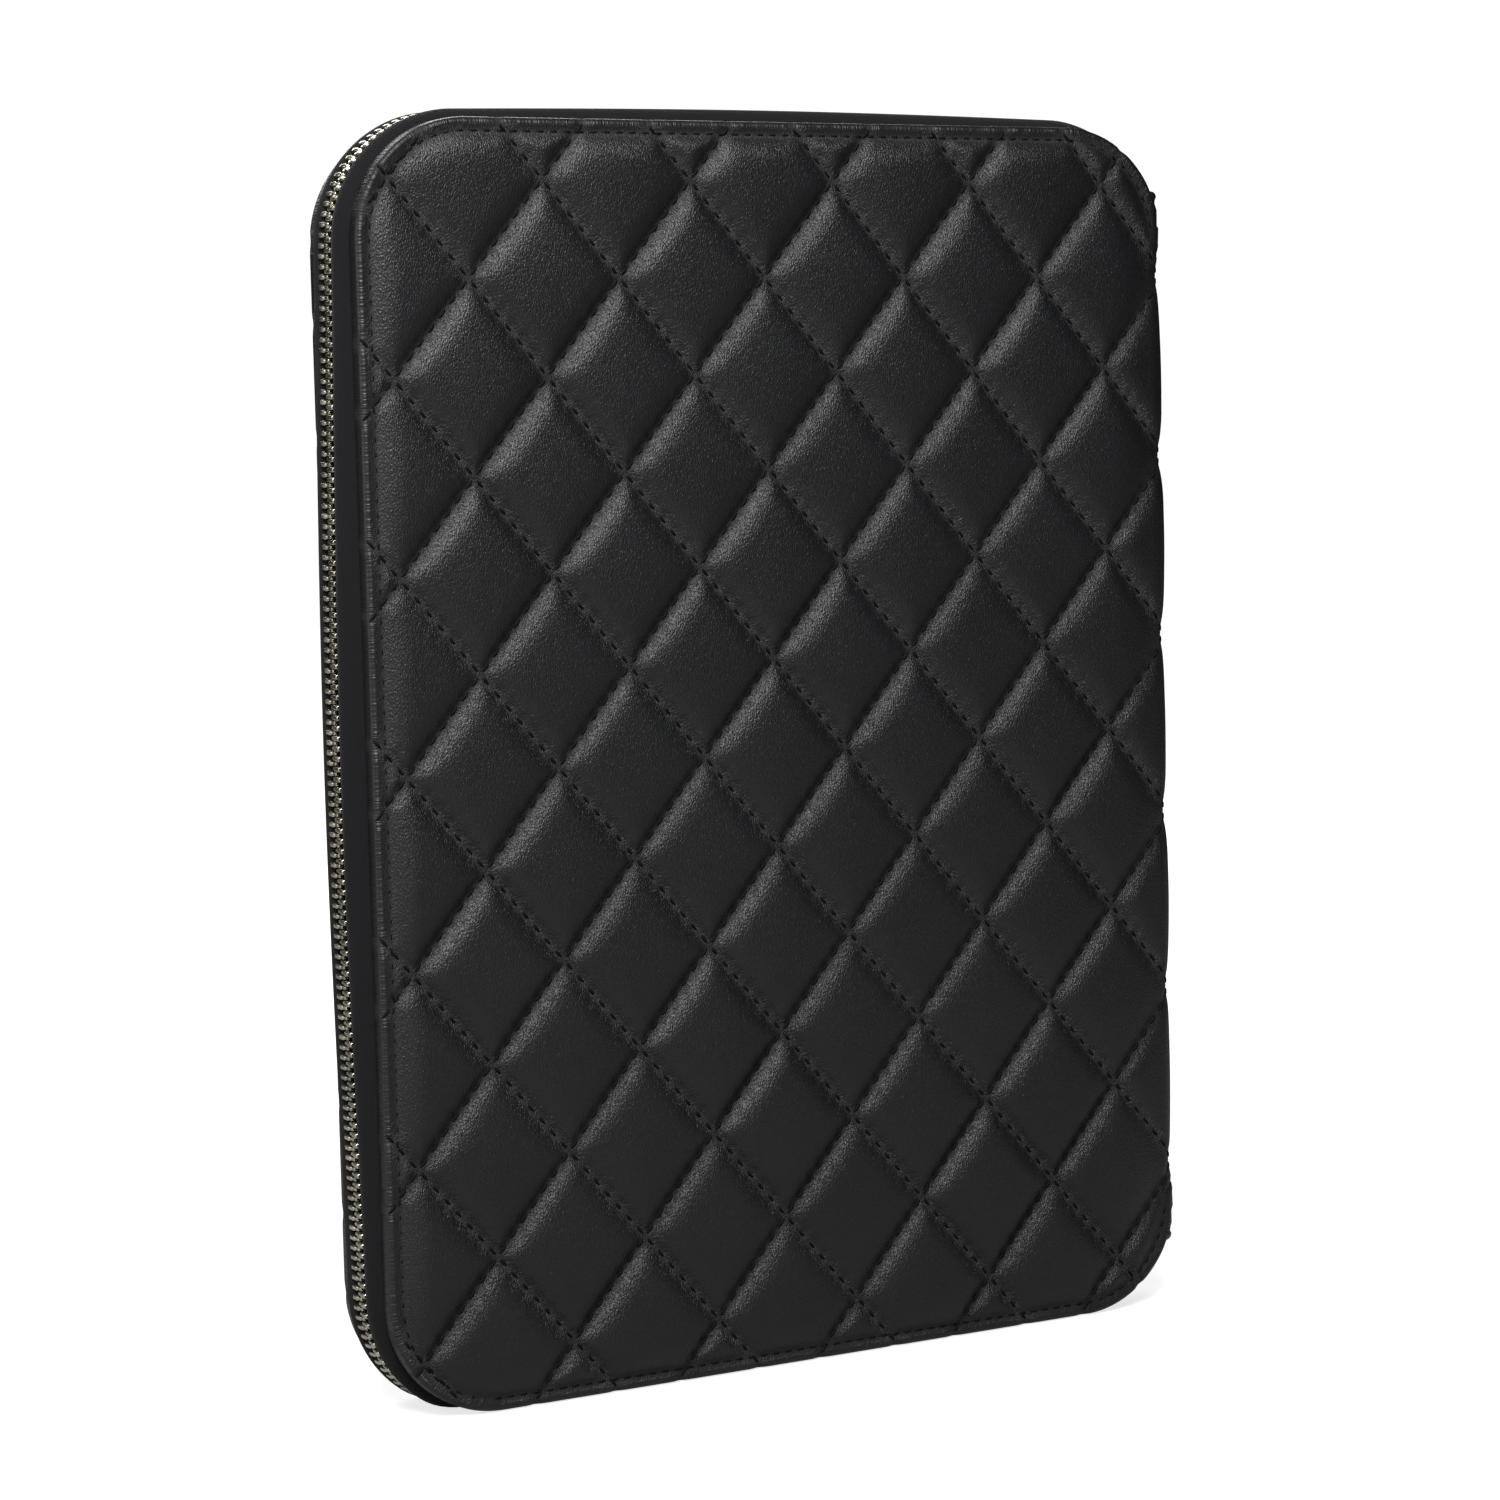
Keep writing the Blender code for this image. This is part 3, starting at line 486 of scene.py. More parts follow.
def build_groups():
    """The shared effects: skin grain, woven twill, soft nap and handling wear."""
    nodes, given, result = new_group(
        "skin grain",
        [("Place", "Vector"), ("Size", "Float"), ("Waviness", "Float")],
        [("Height", "Float"), ("Tone", "Float")],
    )
    scale = nodes.maths("DIVIDE", 1.0, given.outputs["Size"])
    stretched = nodes.mapping(given.outputs["Place"], (1, 0.62, 1), radians(-12))
    cells = nodes.add("TexVoronoi", feature="SMOOTH_F1", distance="EUCLIDEAN")
    wave = nodes.noise(stretched, nodes.maths("MULTIPLY", scale, 0.55), 2.0, 0.5, 1.6)
    shifted = nodes.add("VectorMath", operation="ADD")
    push = nodes.add("VectorMath", operation="SCALE")
    turned = nodes.add("TexNoise")
    nodes.link(stretched, turned.inputs["Vector"])
    nodes.link(nodes.maths("MULTIPLY", scale, 0.4), turned.inputs["Scale"])
    nodes.link(turned.outputs["Color"], push.inputs[0])
    nodes.link(
        nodes.maths("MULTIPLY", given.outputs["Size"], given.outputs["Waviness"]),
        push.inputs["Scale"],
    )
    nodes.link(stretched, shifted.inputs[0])
    nodes.link(push.outputs[0], shifted.inputs[1])
    nodes.link(shifted.outputs[0], cells.inputs["Vector"])
    nodes.link(scale, cells.inputs["Scale"])
    cells.inputs["Smoothness"].default_value = 0.35
    pebble = nodes.spread(cells.outputs["Distance"], 0.05, 0.75, 1.0, 0.0)
    pores = nodes.noise(stretched, nodes.maths("MULTIPLY", scale, 2.6), 3.0, 0.6)
    height = nodes.maths("MULTIPLY_ADD", wave, 0.7, nodes.maths("MULTIPLY", pebble, 0.6))
    height = nodes.maths("MULTIPLY_ADD", pores, 0.07, height)
    nodes.link(height, result.inputs["Height"])
    broad = nodes.noise(given.outputs["Place"], nodes.maths("MULTIPLY", scale, 0.012), 3.0, 0.55)
    nodes.link(nodes.spread(broad, 0.3, 0.7), result.inputs["Tone"])

    nodes, given, result = new_group(
        "woven twill",
        [("Place", "Vector"), ("Pitch", "Float")],
        [("Height", "Float"), ("Tone", "Float")],
    )
    split = nodes.add("SeparateXYZ")
    nodes.link(given.outputs["Place"], split.inputs[0])
    diagonal = nodes.maths("ADD", split.outputs[0], split.outputs[1])
    turns = nodes.maths("DIVIDE", diagonal, given.outputs["Pitch"])
    fuzz = nodes.noise(given.outputs["Place"], 900.0, 3.0, 0.6)
    turns = nodes.maths("MULTIPLY_ADD", fuzz, 0.22, turns)
    ridge = nodes.maths("SINE", nodes.maths("MULTIPLY", turns, 2 * pi))
    half_pitch = nodes.maths("MULTIPLY", given.outputs["Pitch"], 0.5)
    yarn = nodes.maths("DIVIDE", split.outputs[1], half_pitch)
    yarn = nodes.maths("SINE", nodes.maths("MULTIPLY", yarn, 2 * pi))
    height = nodes.maths("MULTIPLY_ADD", yarn, 0.3, ridge)
    nodes.link(nodes.spread(height, -1.3, 1.3), result.inputs["Height"])
    nodes.link(nodes.spread(ridge, -1.0, 1.0), result.inputs["Tone"])

    nodes, given, result = new_group(
        "soft nap",
        [("Place", "Vector"), ("Size", "Float")],
        [("Height", "Float"), ("Tone", "Float")],
    )
    scale = nodes.maths("DIVIDE", 1.0, given.outputs["Size"])
    fibres = nodes.noise(given.outputs["Place"], scale, 4.0, 0.65, 0.4)
    strokes = nodes.noise(given.outputs["Place"], nodes.maths("MULTIPLY", scale, 0.03), 2.0)
    nodes.link(fibres, result.inputs["Height"])
    tone = nodes.maths("MULTIPLY_ADD", fibres, 0.5, nodes.maths("MULTIPLY", strokes, 0.8))
    nodes.link(nodes.spread(tone, 0.4, 0.9), result.inputs["Tone"])

    nodes, given, result = new_group(
        "handling wear",
        [("Place", "Vector"), ("Size", "Float")],
        [("Scratch", "Float"), ("Smear", "Float")],
    )
    scale = nodes.maths("DIVIDE", 1.0, given.outputs["Size"])
    lines = nodes.noise(
        nodes.mapping(given.outputs["Place"], (1, 0.08, 0.4), radians(24)), scale, 3.0, 0.7
    )
    nodes.link(nodes.spread(lines, 0.5, 0.68), result.inputs["Scratch"])
    smear = nodes.noise(given.outputs["Place"], nodes.maths("MULTIPLY", scale, 0.12), 3.0)
    nodes.link(nodes.spread(smear, 0.35, 0.7), result.inputs["Smear"])


def new_material(name, roughness, specular=0.5, metallic=0.0, sheen=0.0, sheen_roughness=0.5):
    """A material with its constants on the shader. Returns it, its Nodes and the shader."""
    material = bpy.data.materials.new(name)
    material.use_nodes = True
    shader = material.node_tree.nodes["Principled BSDF"]
    for socket, value in (
        ("Roughness", roughness),
        ("Specular IOR Level", specular),
        ("Metallic", metallic),
        ("Sheen Weight", sheen),
        ("Sheen Roughness", sheen_roughness),
    ):
        shader.inputs[socket].default_value = value
    return material, Nodes(material.node_tree), shader


def place_of(nodes, on_surface=False):
    """A piece's own UV map, or its Object coordinates."""
    node = nodes.add("TexCoord")
    return node.outputs["UV" if on_surface else "Object"]


def shade(colour, share=1.0):
    """A colour made darker or lighter, with its alpha."""
    return (*[c * share for c in colour], 1)


BLACK, WHITE = (0, 0, 0, 1), (1, 1, 1, 1)


def quilted_lambskin(colour):
    """Glazed lambskin that wrinkles across its seams, with shade painted into its colour down in
    them.
    """
    leather, _, _ = settings()
    _, nodes, shader = new_material("quilted lambskin", 0.4, specular=0.36)
    surface = place_of(nodes, on_surface=True)
    grain = use_group(nodes, "skin grain", Place=surface, Size=1.3 * MM, Waviness=0.9)
    slope = radians(90) - np.arctan2(leather.half_across, leather.half_down)
    wrinkles = []
    for name, turn in (("near_rising", -slope), ("near_falling", slope)):
        turned = nodes.mapping(surface, (1, 1, 1), turn)
        stretched = nodes.mapping(turned, (1, 0.28, 1))
        folds = nodes.noise(stretched, 1050.0, 1.0, 0.5, 0.35)
        near = nodes.add("Attribute", attribute_name=name).outputs["Fac"]
        wrinkles.append(nodes.maths("MULTIPLY", folds, near))
    crease = nodes.add("Attribute", attribute_name="crease").outputs["Fac"]
    light = nodes.spread(grain["Tone"], 0.0, 1.0, 0.8, 1.25)
    # Painted shade: the crease value darkens the base colour by up to a quarter down in the seams
    light = nodes.maths("MULTIPLY", light, nodes.spread(crease, 0.0, 1.0, 1.0, 0.75))
    nodes.link(nodes.mix(light, BLACK, shade(colour), False), shader.inputs["Base Color"])
    rough = nodes.spread(grain["Height"], 0.3, 1.1, 0.47, 0.37)
    nodes.link(nodes.maths("MULTIPLY_ADD", crease, 0.25, rough), shader.inputs["Roughness"])
    normal = nodes.bump(nodes.maths("ADD", *wrinkles), 1.0, 0.3 * MM)
    normal = nodes.bump(grain["Height"], 1.0, 0.13 * MM, normal)
    nodes.link(normal, shader.inputs["Normal"])


def plain_lambskin(colour):
    """The same skin lying flat, on straps, pockets and the earring panel."""
    _, nodes, shader = new_material("plain lambskin", 0.42, specular=0.36)
    grain = use_group(nodes, "skin grain", Place=place_of(nodes), Size=1.1 * MM, Waviness=0.9)
    light = nodes.spread(grain["Tone"], 0.0, 1.0, 0.8, 1.3)
    nodes.link(nodes.mix(light, BLACK, shade(colour, 1.3), False), shader.inputs["Base Color"])
    nodes.link(nodes.spread(grain["Height"], 0.3, 1.1, 0.5, 0.4), shader.inputs["Roughness"])
    nodes.link(nodes.bump(grain["Height"], 1.0, 0.14 * MM), shader.inputs["Normal"])


def two_tone(nodes, shader, tone, dark, light, height, strength, depth):
    """Lets one value choose between two base colours, and another raise the surface."""
    nodes.link(nodes.mix(tone, dark, light), shader.inputs["Base Color"])
    nodes.link(nodes.bump(height, strength, depth), shader.inputs["Normal"])


def seam_thread(colour):
    """Twisted black thread."""
    _, nodes, shader = new_material("seam thread", 0.7, specular=0.1)
    twist = nodes.noise(nodes.mapping(place_of(nodes), (1, 1, 1), radians(35)), 2600.0)
    dark, light = shade(colour, 0.5), shade(colour, 1.6)
    two_tone(nodes, shader, twist, dark, light, twist, 0.5, 0.06 * MM)


def twill_tape(colour):
    """Woven zip tape."""
    _, nodes, shader = new_material("twill tape", 0.85, specular=0.12, sheen=0.03)
    surface = place_of(nodes, on_surface=True)
    weave = use_group(nodes, "woven twill", Place=surface, Pitch=0.55 * MM)
    dark, light = shade(colour, 0.45), shade(colour, 1.7)
    two_tone(nodes, shader, weave["Tone"], dark, light, weave["Height"], 0.8, 0.12 * MM)


def zip_metal(colour):
    """Pale nickel with fine handling marks."""
    _, nodes, shader = new_material("pale nickel", 0.36, metallic=1.0)
    wear = use_group(nodes, "handling wear", Place=place_of(nodes), Size=1.1 * MM)
    scratch = wear["Scratch"]
    nodes.link(nodes.spread(scratch, 0.0, 1.0, 0.3, 0.46), shader.inputs["Roughness"])
    clean, dull = shade(colour), shade(colour, 0.62)
    two_tone(nodes, shader, wear["Smear"], clean, dull, scratch, 0.25, 0.02 * MM)


def napped(name, colour, size, depth):
    """Matt fibrous stuff: the suede lining and the boards."""
    _, nodes, shader = new_material(
        name, 0.92, specular=0.15, sheen=0.25, sheen_roughness=0.6
    )
    nap = use_group(nodes, "soft nap", Place=place_of(nodes), Size=size)
    dark, light = shade(colour, 0.7), shade(colour, 1.25)
    two_tone(nodes, shader, nap["Tone"], dark, light, nap["Height"], 0.5, depth)


def build_materials():
    """Every finish, in the colours of the settings."""
    build_groups()
    leather, zipper, _ = settings()
    quilted_lambskin(leather.colour)
    plain_lambskin(leather.colour)
    seam_thread(leather.thread_colour)
    twill_tape(zipper.tape_colour)
    zip_metal(zipper.metal_colour)
    napped("suede lining", (0.06, 0.057, 0.054), 0.35 * MM, 0.1 * MM)
    napped("millboard", (0.3, 0.24, 0.18), 0.8 * MM, 0.08 * MM)


# The skin's own surface: how far from the free edge, and how high up the case


class Skin:
    """Where one side's leather runs, from its free edge over the fold to the spine's middle."""

    def __init__(self, side):
        self.side = side
        self.leather, _, _ = settings()
        self.radius = self.leather.corner
        self.turn_start = WIDTH - self.leather.fold
        self.turn_end = self.turn_start + self.leather.fold * pi / 2
        self.middle = self.turn_end + RIM - self.leather.fold
        a, b = self.leather.half_across, self.leather.half_down
        self.seam_pitch = 2 * a * b / sqrt(a * a + b * b)

    def lattice(self, along, up):
        """Columns and rows of the quilt's crossings. They run on over the spine to the back."""
        if self.side == BACK:
            along = 2 * self.middle - along
        column = (along - self.leather.first_across) / self.leather.half_across
        row = (HEIGHT - self.leather.first_down - up) / self.leather.half_down
        return column, row

    def unlattice(self, column, row):
        """The place on the skin of a column and row of the quilt."""
        along = self.leather.first_across + column * self.leather.half_across
        if self.side == BACK:
            along = 2 * self.middle - along
        return along, HEIGHT - self.leather.first_down - row * self.leather.half_down

    def inside_cover(self, along, up):
        """Distance in from a cover's edge. The spine side is open between its corners."""
        along, up = np.broadcast_arrays(np.asarray(along, float), np.asarray(up, float))
        level = np.minimum(up, HEIGHT - up)
        inside = np.minimum(along, level)
        r = self.radius
        for reach in (r - along, along - (WIDTH - r)):
            round_it = (reach > 0) & (level < r)
            turned = r - np.hypot(reach, r - level)
            inside = np.where(round_it, turned, inside)
        beside = (along > WIDTH - r) & (level >= r)
        opening = (WIDTH - along) + (level - r) * 1.6
        return np.where(beside, np.minimum(level, np.maximum(opening, -1)), inside)

    def inside_spine(self, along, up):
        """Distance in from the ends of the spine's strip."""
        level = np.minimum(up, HEIGHT - up)
        start = WIDTH - self.radius + sqrt(self.radius**2 - (self.radius - SPINE_END) ** 2)
        return np.minimum(level - SPINE_END, along - start + 0.4 * MM)

    def inside(self, along, up):
        """Distance in from the skin's free edge."""
        level = np.minimum(up, HEIGHT - up)
        cover = self.inside_cover(along, up)
        cover = np.where((along > WIDTH - self.radius) & (level >= self.radius), level, cover)
        return np.maximum(cover, self.inside_spine(along, up))

    def height(self, along, up):
        """How proud the skin is of the rims' plane, its nearness to both seams, and its crease,
        where the leather's material paints shade into its colour.
        """
        leather = self.leather
        column, row = self.lattice(along, up)
        rising, falling = (column + row) / 2, (column - row) / 2
        to_rising = np.abs(rising - np.round(rising)) * self.seam_pitch
        to_falling = np.abs(falling - np.round(falling)) * self.seam_pitch
        lips = []
        for across, to_seam in ((falling, to_rising), (rising, to_falling)):
            bulge = SCALLOP * (0.5 - 0.5 * np.cos(2 * pi * across * SEAM_STITCHES))
            lips.append(to_seam - bulge * near_to(to_seam, SCALLOP_REACH))
        cover = self.inside_cover(along, up)
        outside = np.maximum(-cover, 0)
        spine = self.inside_spine(along, up)
        to_edge = np.where(cover > 0, cover, spine) - leather.stitch_inset
        to_edge = np.where(cover > 0, to_edge, np.minimum(to_edge, outside * 1.2))
        seams = [np.maximum(d, 0.02 * MM) for d in (*lips, to_edge)]
        calm = 1 - CALM_SHARE * near_to(along - self.turn_start - 2 * MM, CALM_REACH)
        nearest = sum(d**-5.0 for d in seams) ** -0.2
        share = np.clip(nearest / leather.shoulder, 0, 1)
        cell = np.floor(rising) * 12.9898 + np.floor(falling) * 78.233
        luck = np.abs(np.sin(cell * 1.37) * 43758.5453) % 1.0
        lift = leather.rise * (0.9 + 0.22 * luck)
        puff = lift * (1 - (1 - share) ** 2.4)
        crown = 1.0
        for to_seam in (to_rising, to_falling):
            crown = crown * np.sin(pi * np.clip(to_seam / self.seam_pitch, 0, 1))
        puff = (puff + leather.crown * crown * share) * calm
        quilt = np.minimum(to_rising, to_falling)
        inset = leather.stitch_inset
        rim = np.clip(1 - np.maximum(to_edge + inset, 0) / inset, 0, 1)
        bead = leather.rim_rise * np.sin(pi * np.clip(rim, 0, 0.62) / 1.1)
        bead = bead * (1 - 0.75 * near_to(quilt, 0.9 * MM))
        height = np.where(to_edge > 0, puff, bead)
        height = np.where(cover > 0, height, height - DROP_OUTSIDE * ease(outside, 0, 1.2 * MM))
        level = np.minimum(up, HEIGHT - up)
        swell = ease(level, SPINE_END + 20 * MM, SPINE_END + 2 * MM)
        height = height + SPINE_SWELL * swell * ease(along, WIDTH - 2 * MM, WIDTH + 3 * MM)
        slow = SLOW_WAVE * np.sin(along * 61 + up * 23 + 1.3) * np.sin(up * 47 - along * 19)
        height = height + slow * ease(nearest, 0, leather.shoulder)
        near = [near_to(to_seam, WRINKLE_REACH) for to_seam in (to_rising, to_falling)]
        # Nearness to a seam or the edge stitching: the mask for the painted shade in the leather's
        # colour, and for its rougher seams
        crease = near_to(np.minimum(quilt, np.abs(to_edge)), CREASE_REACH)
        if self.side == BACK:
            near.reverse()
        return height, near[0], near[1], crease

    def place(self, along, up, height):
        """The place in the case of a point on the skin."""
        along, up, height = np.broadcast_arrays(along, up, height)
        fold = self.leather.fold
        turn = np.clip((along - self.turn_start) / fold, 0, pi / 2)
        before = np.minimum(along, self.turn_start)
        after = np.maximum(along - self.turn_end, 0)
        x = LEFT + before + (fold + height) * np.sin(turn)
        out = RIM - fold + (fold + height) * np.cos(turn) - after
        return np.stack([x, self.side * out, up], axis=-1)

    def outward(self, along):
        """The skin's outward direction, without its quilting."""
        turn = np.clip((along - self.turn_start) / self.leather.fold, 0, pi / 2)
        return np.stack([np.sin(turn), self.side * np.cos(turn), 0 * turn], axis=-1)


EDGE_ROUND = 1.2 * MM
LEATHER_BACK = -1.2 * MM  # the quilted panel's flat back, from the rims' plane


def build_quilted_skin(side):
    """The leather of a cover and of half the spine, over its wadding, as one quilted panel."""
    skin = Skin(side)
    leather = skin.leather
    ends = sorted(skin.lattice(np.array([0.0, skin.middle]), 0.0)[0])
    first, last = int(np.floor(ends[0] * CELLS)), int(np.ceil(ends[1] * CELLS))
    rows = sorted(skin.lattice(0.0, np.array([0.0, HEIGHT]))[1])
    top, bottom = int(np.floor(rows[0] * CELLS)), int(np.ceil(rows[1] * CELLS))
    begin()
    bpy.ops.mesh.primitive_grid_add(
        x_subdivisions=last - first, y_subdivisions=bottom - top, size=1
    )
    piece = named("quilted_leather_" + WORD[side])
    flat = points_of(piece)
    columns = (first + (flat[:, 0] + 0.5) * (last - first)) / CELLS
    rows = (top + (0.5 - flat[:, 1]) * (bottom - top)) / CELLS
    along, up = skin.unlattice(columns, rows)
    cell = leather.half_across / CELLS
    spare = cell * 0.55
    outside = (skin.inside(along, up) < EDGE_ROUND - spare) | (along > skin.middle + spare)
    set_value(piece, "along", along)
    set_value(piece, "up", up)
    pick(piece, outside)
    edit(piece)
    bpy.ops.mesh.delete(type="VERT")
    bpy.ops.mesh.select_all(action="SELECT")
    bpy.ops.mesh.region_to_loop()
    object_mode()
    border = picked(piece)
    along, up = get_value(piece, "along"), get_value(piece, "up")
    middle = border & (along > skin.middle - cell * 0.8)
    free = border & ~middle
    step = 0.05 * MM
    slope = np.zeros((len(along), 2))
    for _ in range(4):
        slope[:, 0] = skin.inside(along + step, up) - skin.inside(along - step, up)
        slope[:, 1] = skin.inside(along, up + step) - skin.inside(along, up - step)
        slope /= np.maximum(np.linalg.norm(slope, axis=1, keepdims=True), 1e-9)
        short = np.where(free, EDGE_ROUND - skin.inside(along, up), 0)
        along, up = along + slope[:, 0] * short, up + slope[:, 1] * short
    along = np.where(middle, skin.middle, along)
    along = np.minimum(along, skin.middle)
    height, rising, falling, crease = skin.height(along, up)
    for name, values in (
        ("along", along),
        ("up", up),
        ("proud", height),
        ("off_along", np.where(free, -slope[:, 0], 0)),
        ("off_up", np.where(free, -slope[:, 1], 0)),
        ("free", free),
        ("near_rising", rising),
        ("near_falling", falling),
        ("crease", crease),
    ):
        set_value(piece, name, values)
    move_points(piece, skin.place(along, up, height))
    last_ring = turn_edge_over(piece, skin, border)
    close_back(piece, skin, last_ring)
    face_outwards(piece)
    lay_uv(piece, get_value(piece, "along"), get_value(piece, "up"))
    for name in ("off_along", "off_up", "free", "proud", "along", "up"):
        piece.data.attributes.remove(piece.data.attributes[name])
    smooth(piece)
    dress(piece, "quilted lambskin")
    word = WORD[side]
    nodes = [word + "_leather", word + "_padding"]
    if side == FRONT:
        nodes += ["spine_leather", "spine_padding"]
    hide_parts(*nodes)
    bend_over_fold(piece)


def turn_edge_over(piece, skin, border):
    """Rolls the panel's border over its edge and down to its back, ring by ring."""
    rings = []
    for turn in np.radians((30, 60, 90)):
        rings.append((EDGE_ROUND * (sin(turn) - 1), EDGE_ROUND * (cos(turn) - 1)))
    wall = [(0.0, -TURN_END * 0.55), (0.0, -TURN_END + 0.4 * MM), (-0.4 * MM, -TURN_END)]
    wall += [(-1.0 * MM, -TURN_END), (-1.0 * MM, LEATHER_BACK)]
    pick(piece, border)
    edit(piece)
    for number, (off, down) in enumerate(rings + wall):
        bpy.ops.mesh.extrude_region_move()
        object_mode()
        new = picked(piece)
        is_free = get_value(piece, "free") > 0.5
        proud = get_value(piece, "proud")
        share = (number + 1) / len(rings + wall)
        drop = proud + down if number < len(rings) else np.full_like(proud, down)
        height = np.where(is_free, drop, proud + (LEATHER_BACK - proud) * share)
        reach = EDGE_ROUND + off
        place = skin.place(
            get_value(piece, "along") + get_value(piece, "off_along") * reach,
            get_value(piece, "up") + get_value(piece, "off_up") * reach,
            height,
        )
        move_points(piece, np.where(new[:, None], place, points_of(piece)))
        edit(piece)
    object_mode()
    return new


def close_back(piece, skin, last_ring):
    """Closes the panel's back with two flat faces that meet at the fold."""
    on_spine = get_value(piece, "along") > (skin.turn_start + skin.turn_end) / 2
    for part in (False, True):
        chosen = last_ring & (on_spine == part)
        if part:
            shared = last_ring & ~on_spine
            ups, alongs = get_value(piece, "up"), get_value(piece, "along")
            for sign in (1, -1):
                candidates = np.where(shared, alongs * 100 + sign * ups, -1e9)
                chosen[int(np.argmax(candidates))] = True
        pick(piece, chosen)
        edit(piece)
        bpy.ops.mesh.edge_face_add()
        object_mode()


def bend_over_fold(piece):
    """Bakes a piece's place into its mesh."""
    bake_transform(piece)


def model_stitch(length, radius):
    """One short stitch of thread, thickest in the middle, lying along X."""
    begin()
    bpy.ops.mesh.primitive_uv_sphere_add(segments=6, ring_count=6, radius=1)
    stitch = named("stitch_model")
    places = points_of(stitch)
    shaped = np.stack([places[:, 2], places[:, 1], -places[:, 0]], axis=1)
    end = np.abs(shaped[:, 0])
    shaped[:, 0] = np.sign(shaped[:, 0]) * end**0.8 * length / 2
    shaped[:, 1:] *= radius
    shaped[:, 2] -= radius * 1.1 * end**3
    move_points(stitch, shaped)
    return stitch


def build_quilt_stitches(side):
    """The thread of all the quilting seams of one side."""
    skin = Skin(side)
    leather = skin.leather
    columns, _ = skin.lattice(np.array([0.0, skin.middle]), 0.0)
    first, last = int(np.floor(min(columns))) - 1, int(np.ceil(max(columns))) + 1
    rows = int(HEIGHT / leather.half_down) + 2
    starts = []
    for column in range(first, last):
        for row in range(-2, rows):
            if (column + row) % 2:
                continue
            for slant in (1, -1):
                for k in range(SEAM_STITCHES):
                    share = (k + 0.5) / SEAM_STITCHES
                    starts.append((column + share, row + slant * share, slant))
    starts = np.array(starts, float)
    along, up = skin.unlattice(starts[:, 0], starts[:, 1])
    kept = (skin.inside(along, up) > 1.0 * MM) & (along < skin.middle - 0.4 * MM)
    along, up = along[kept], up[kept]
    columns, rows, slants = starts[kept].T
    ends = []
    for step in (-0.012, 0.012):
        a, u = skin.unlattice(columns + step, rows + step * slants)
        ends.append(skin.place(a, u, skin.height(a, u)[0]))
    seat = skin.place(along, up, skin.height(along, up)[0] + THREAD_PROUD)
    side_length = sqrt(leather.half_across**2 + leather.half_down**2)
    stitch = model_stitch(side_length / SEAM_STITCHES * STITCH_SHARE, 0.3 * MM)
    frames = frames_of(seat, ends[1] - ends[0], skin.outward(along))
    piece = copies("quilt_stitches_" + WORD[side], stitch, frames)
    dress(piece, "seam thread")
    bend_over_fold(piece)


def edge_path(skin, inset):
    """Places along a line inside a cover's free edge, close together round its corners."""
    r = skin.radius
    near, far, low, high = r, WIDTH - r, r, HEIGHT - r
    past = 84  # degrees round the spine corners
    places = []
    for along, up, start, end in (
        (far, high, 90 - past, 90),
        (near, high, 90, 180),
        (near, low, 180, 270),
        (far, low, 270, 270 + past),
    ):
        for turn in np.radians(np.linspace(start, end, 24)):
            places.append((along + (r - inset) * cos(turn), up + (r - inset) * sin(turn)))
    return np.array(places)


def walk(path, pitch, closed=False):
    """Points at an even pitch along a polyline, and the direction there."""
    if closed:
        path = np.vstack([path, path[:1]])
    travelled = distances(path)
    count = max(int(travelled[-1] / pitch), 1)
    stops = (np.arange(count) + 0.5) * travelled[-1] / count
    step = 0.01 * MM
    ahead, behind = (part_way(path, travelled, stops + way) for way in (step, -step))
    return part_way(path, travelled, stops), ahead - behind


def build_edge_stitches(side):
    """The row of stitches round a cover's three free sides."""
    skin = Skin(side)
    at, direction = walk(edge_path(skin, skin.leather.stitch_inset), 2.9 * MM)
    along, up = at[:, 0], at[:, 1]
    height = skin.height(along, up)[0]
    seat = skin.place(along, up, height + THREAD_PROUD)
    tip = 0.4 * direction / np.linalg.norm(direction, axis=1, keepdims=True) * MM
    ahead = skin.place(along + tip[:, 0], up + tip[:, 1], height)
    behind = skin.place(along - tip[:, 0], up - tip[:, 1], height)
    frames = frames_of(seat, ahead - behind, skin.outward(along))
    piece = copies("edge_stitches_" + WORD[side], model_stitch(2.1 * MM, 0.28 * MM), frames)
    dress(piece, "seam thread")
    bend_over_fold(piece)


# The zip


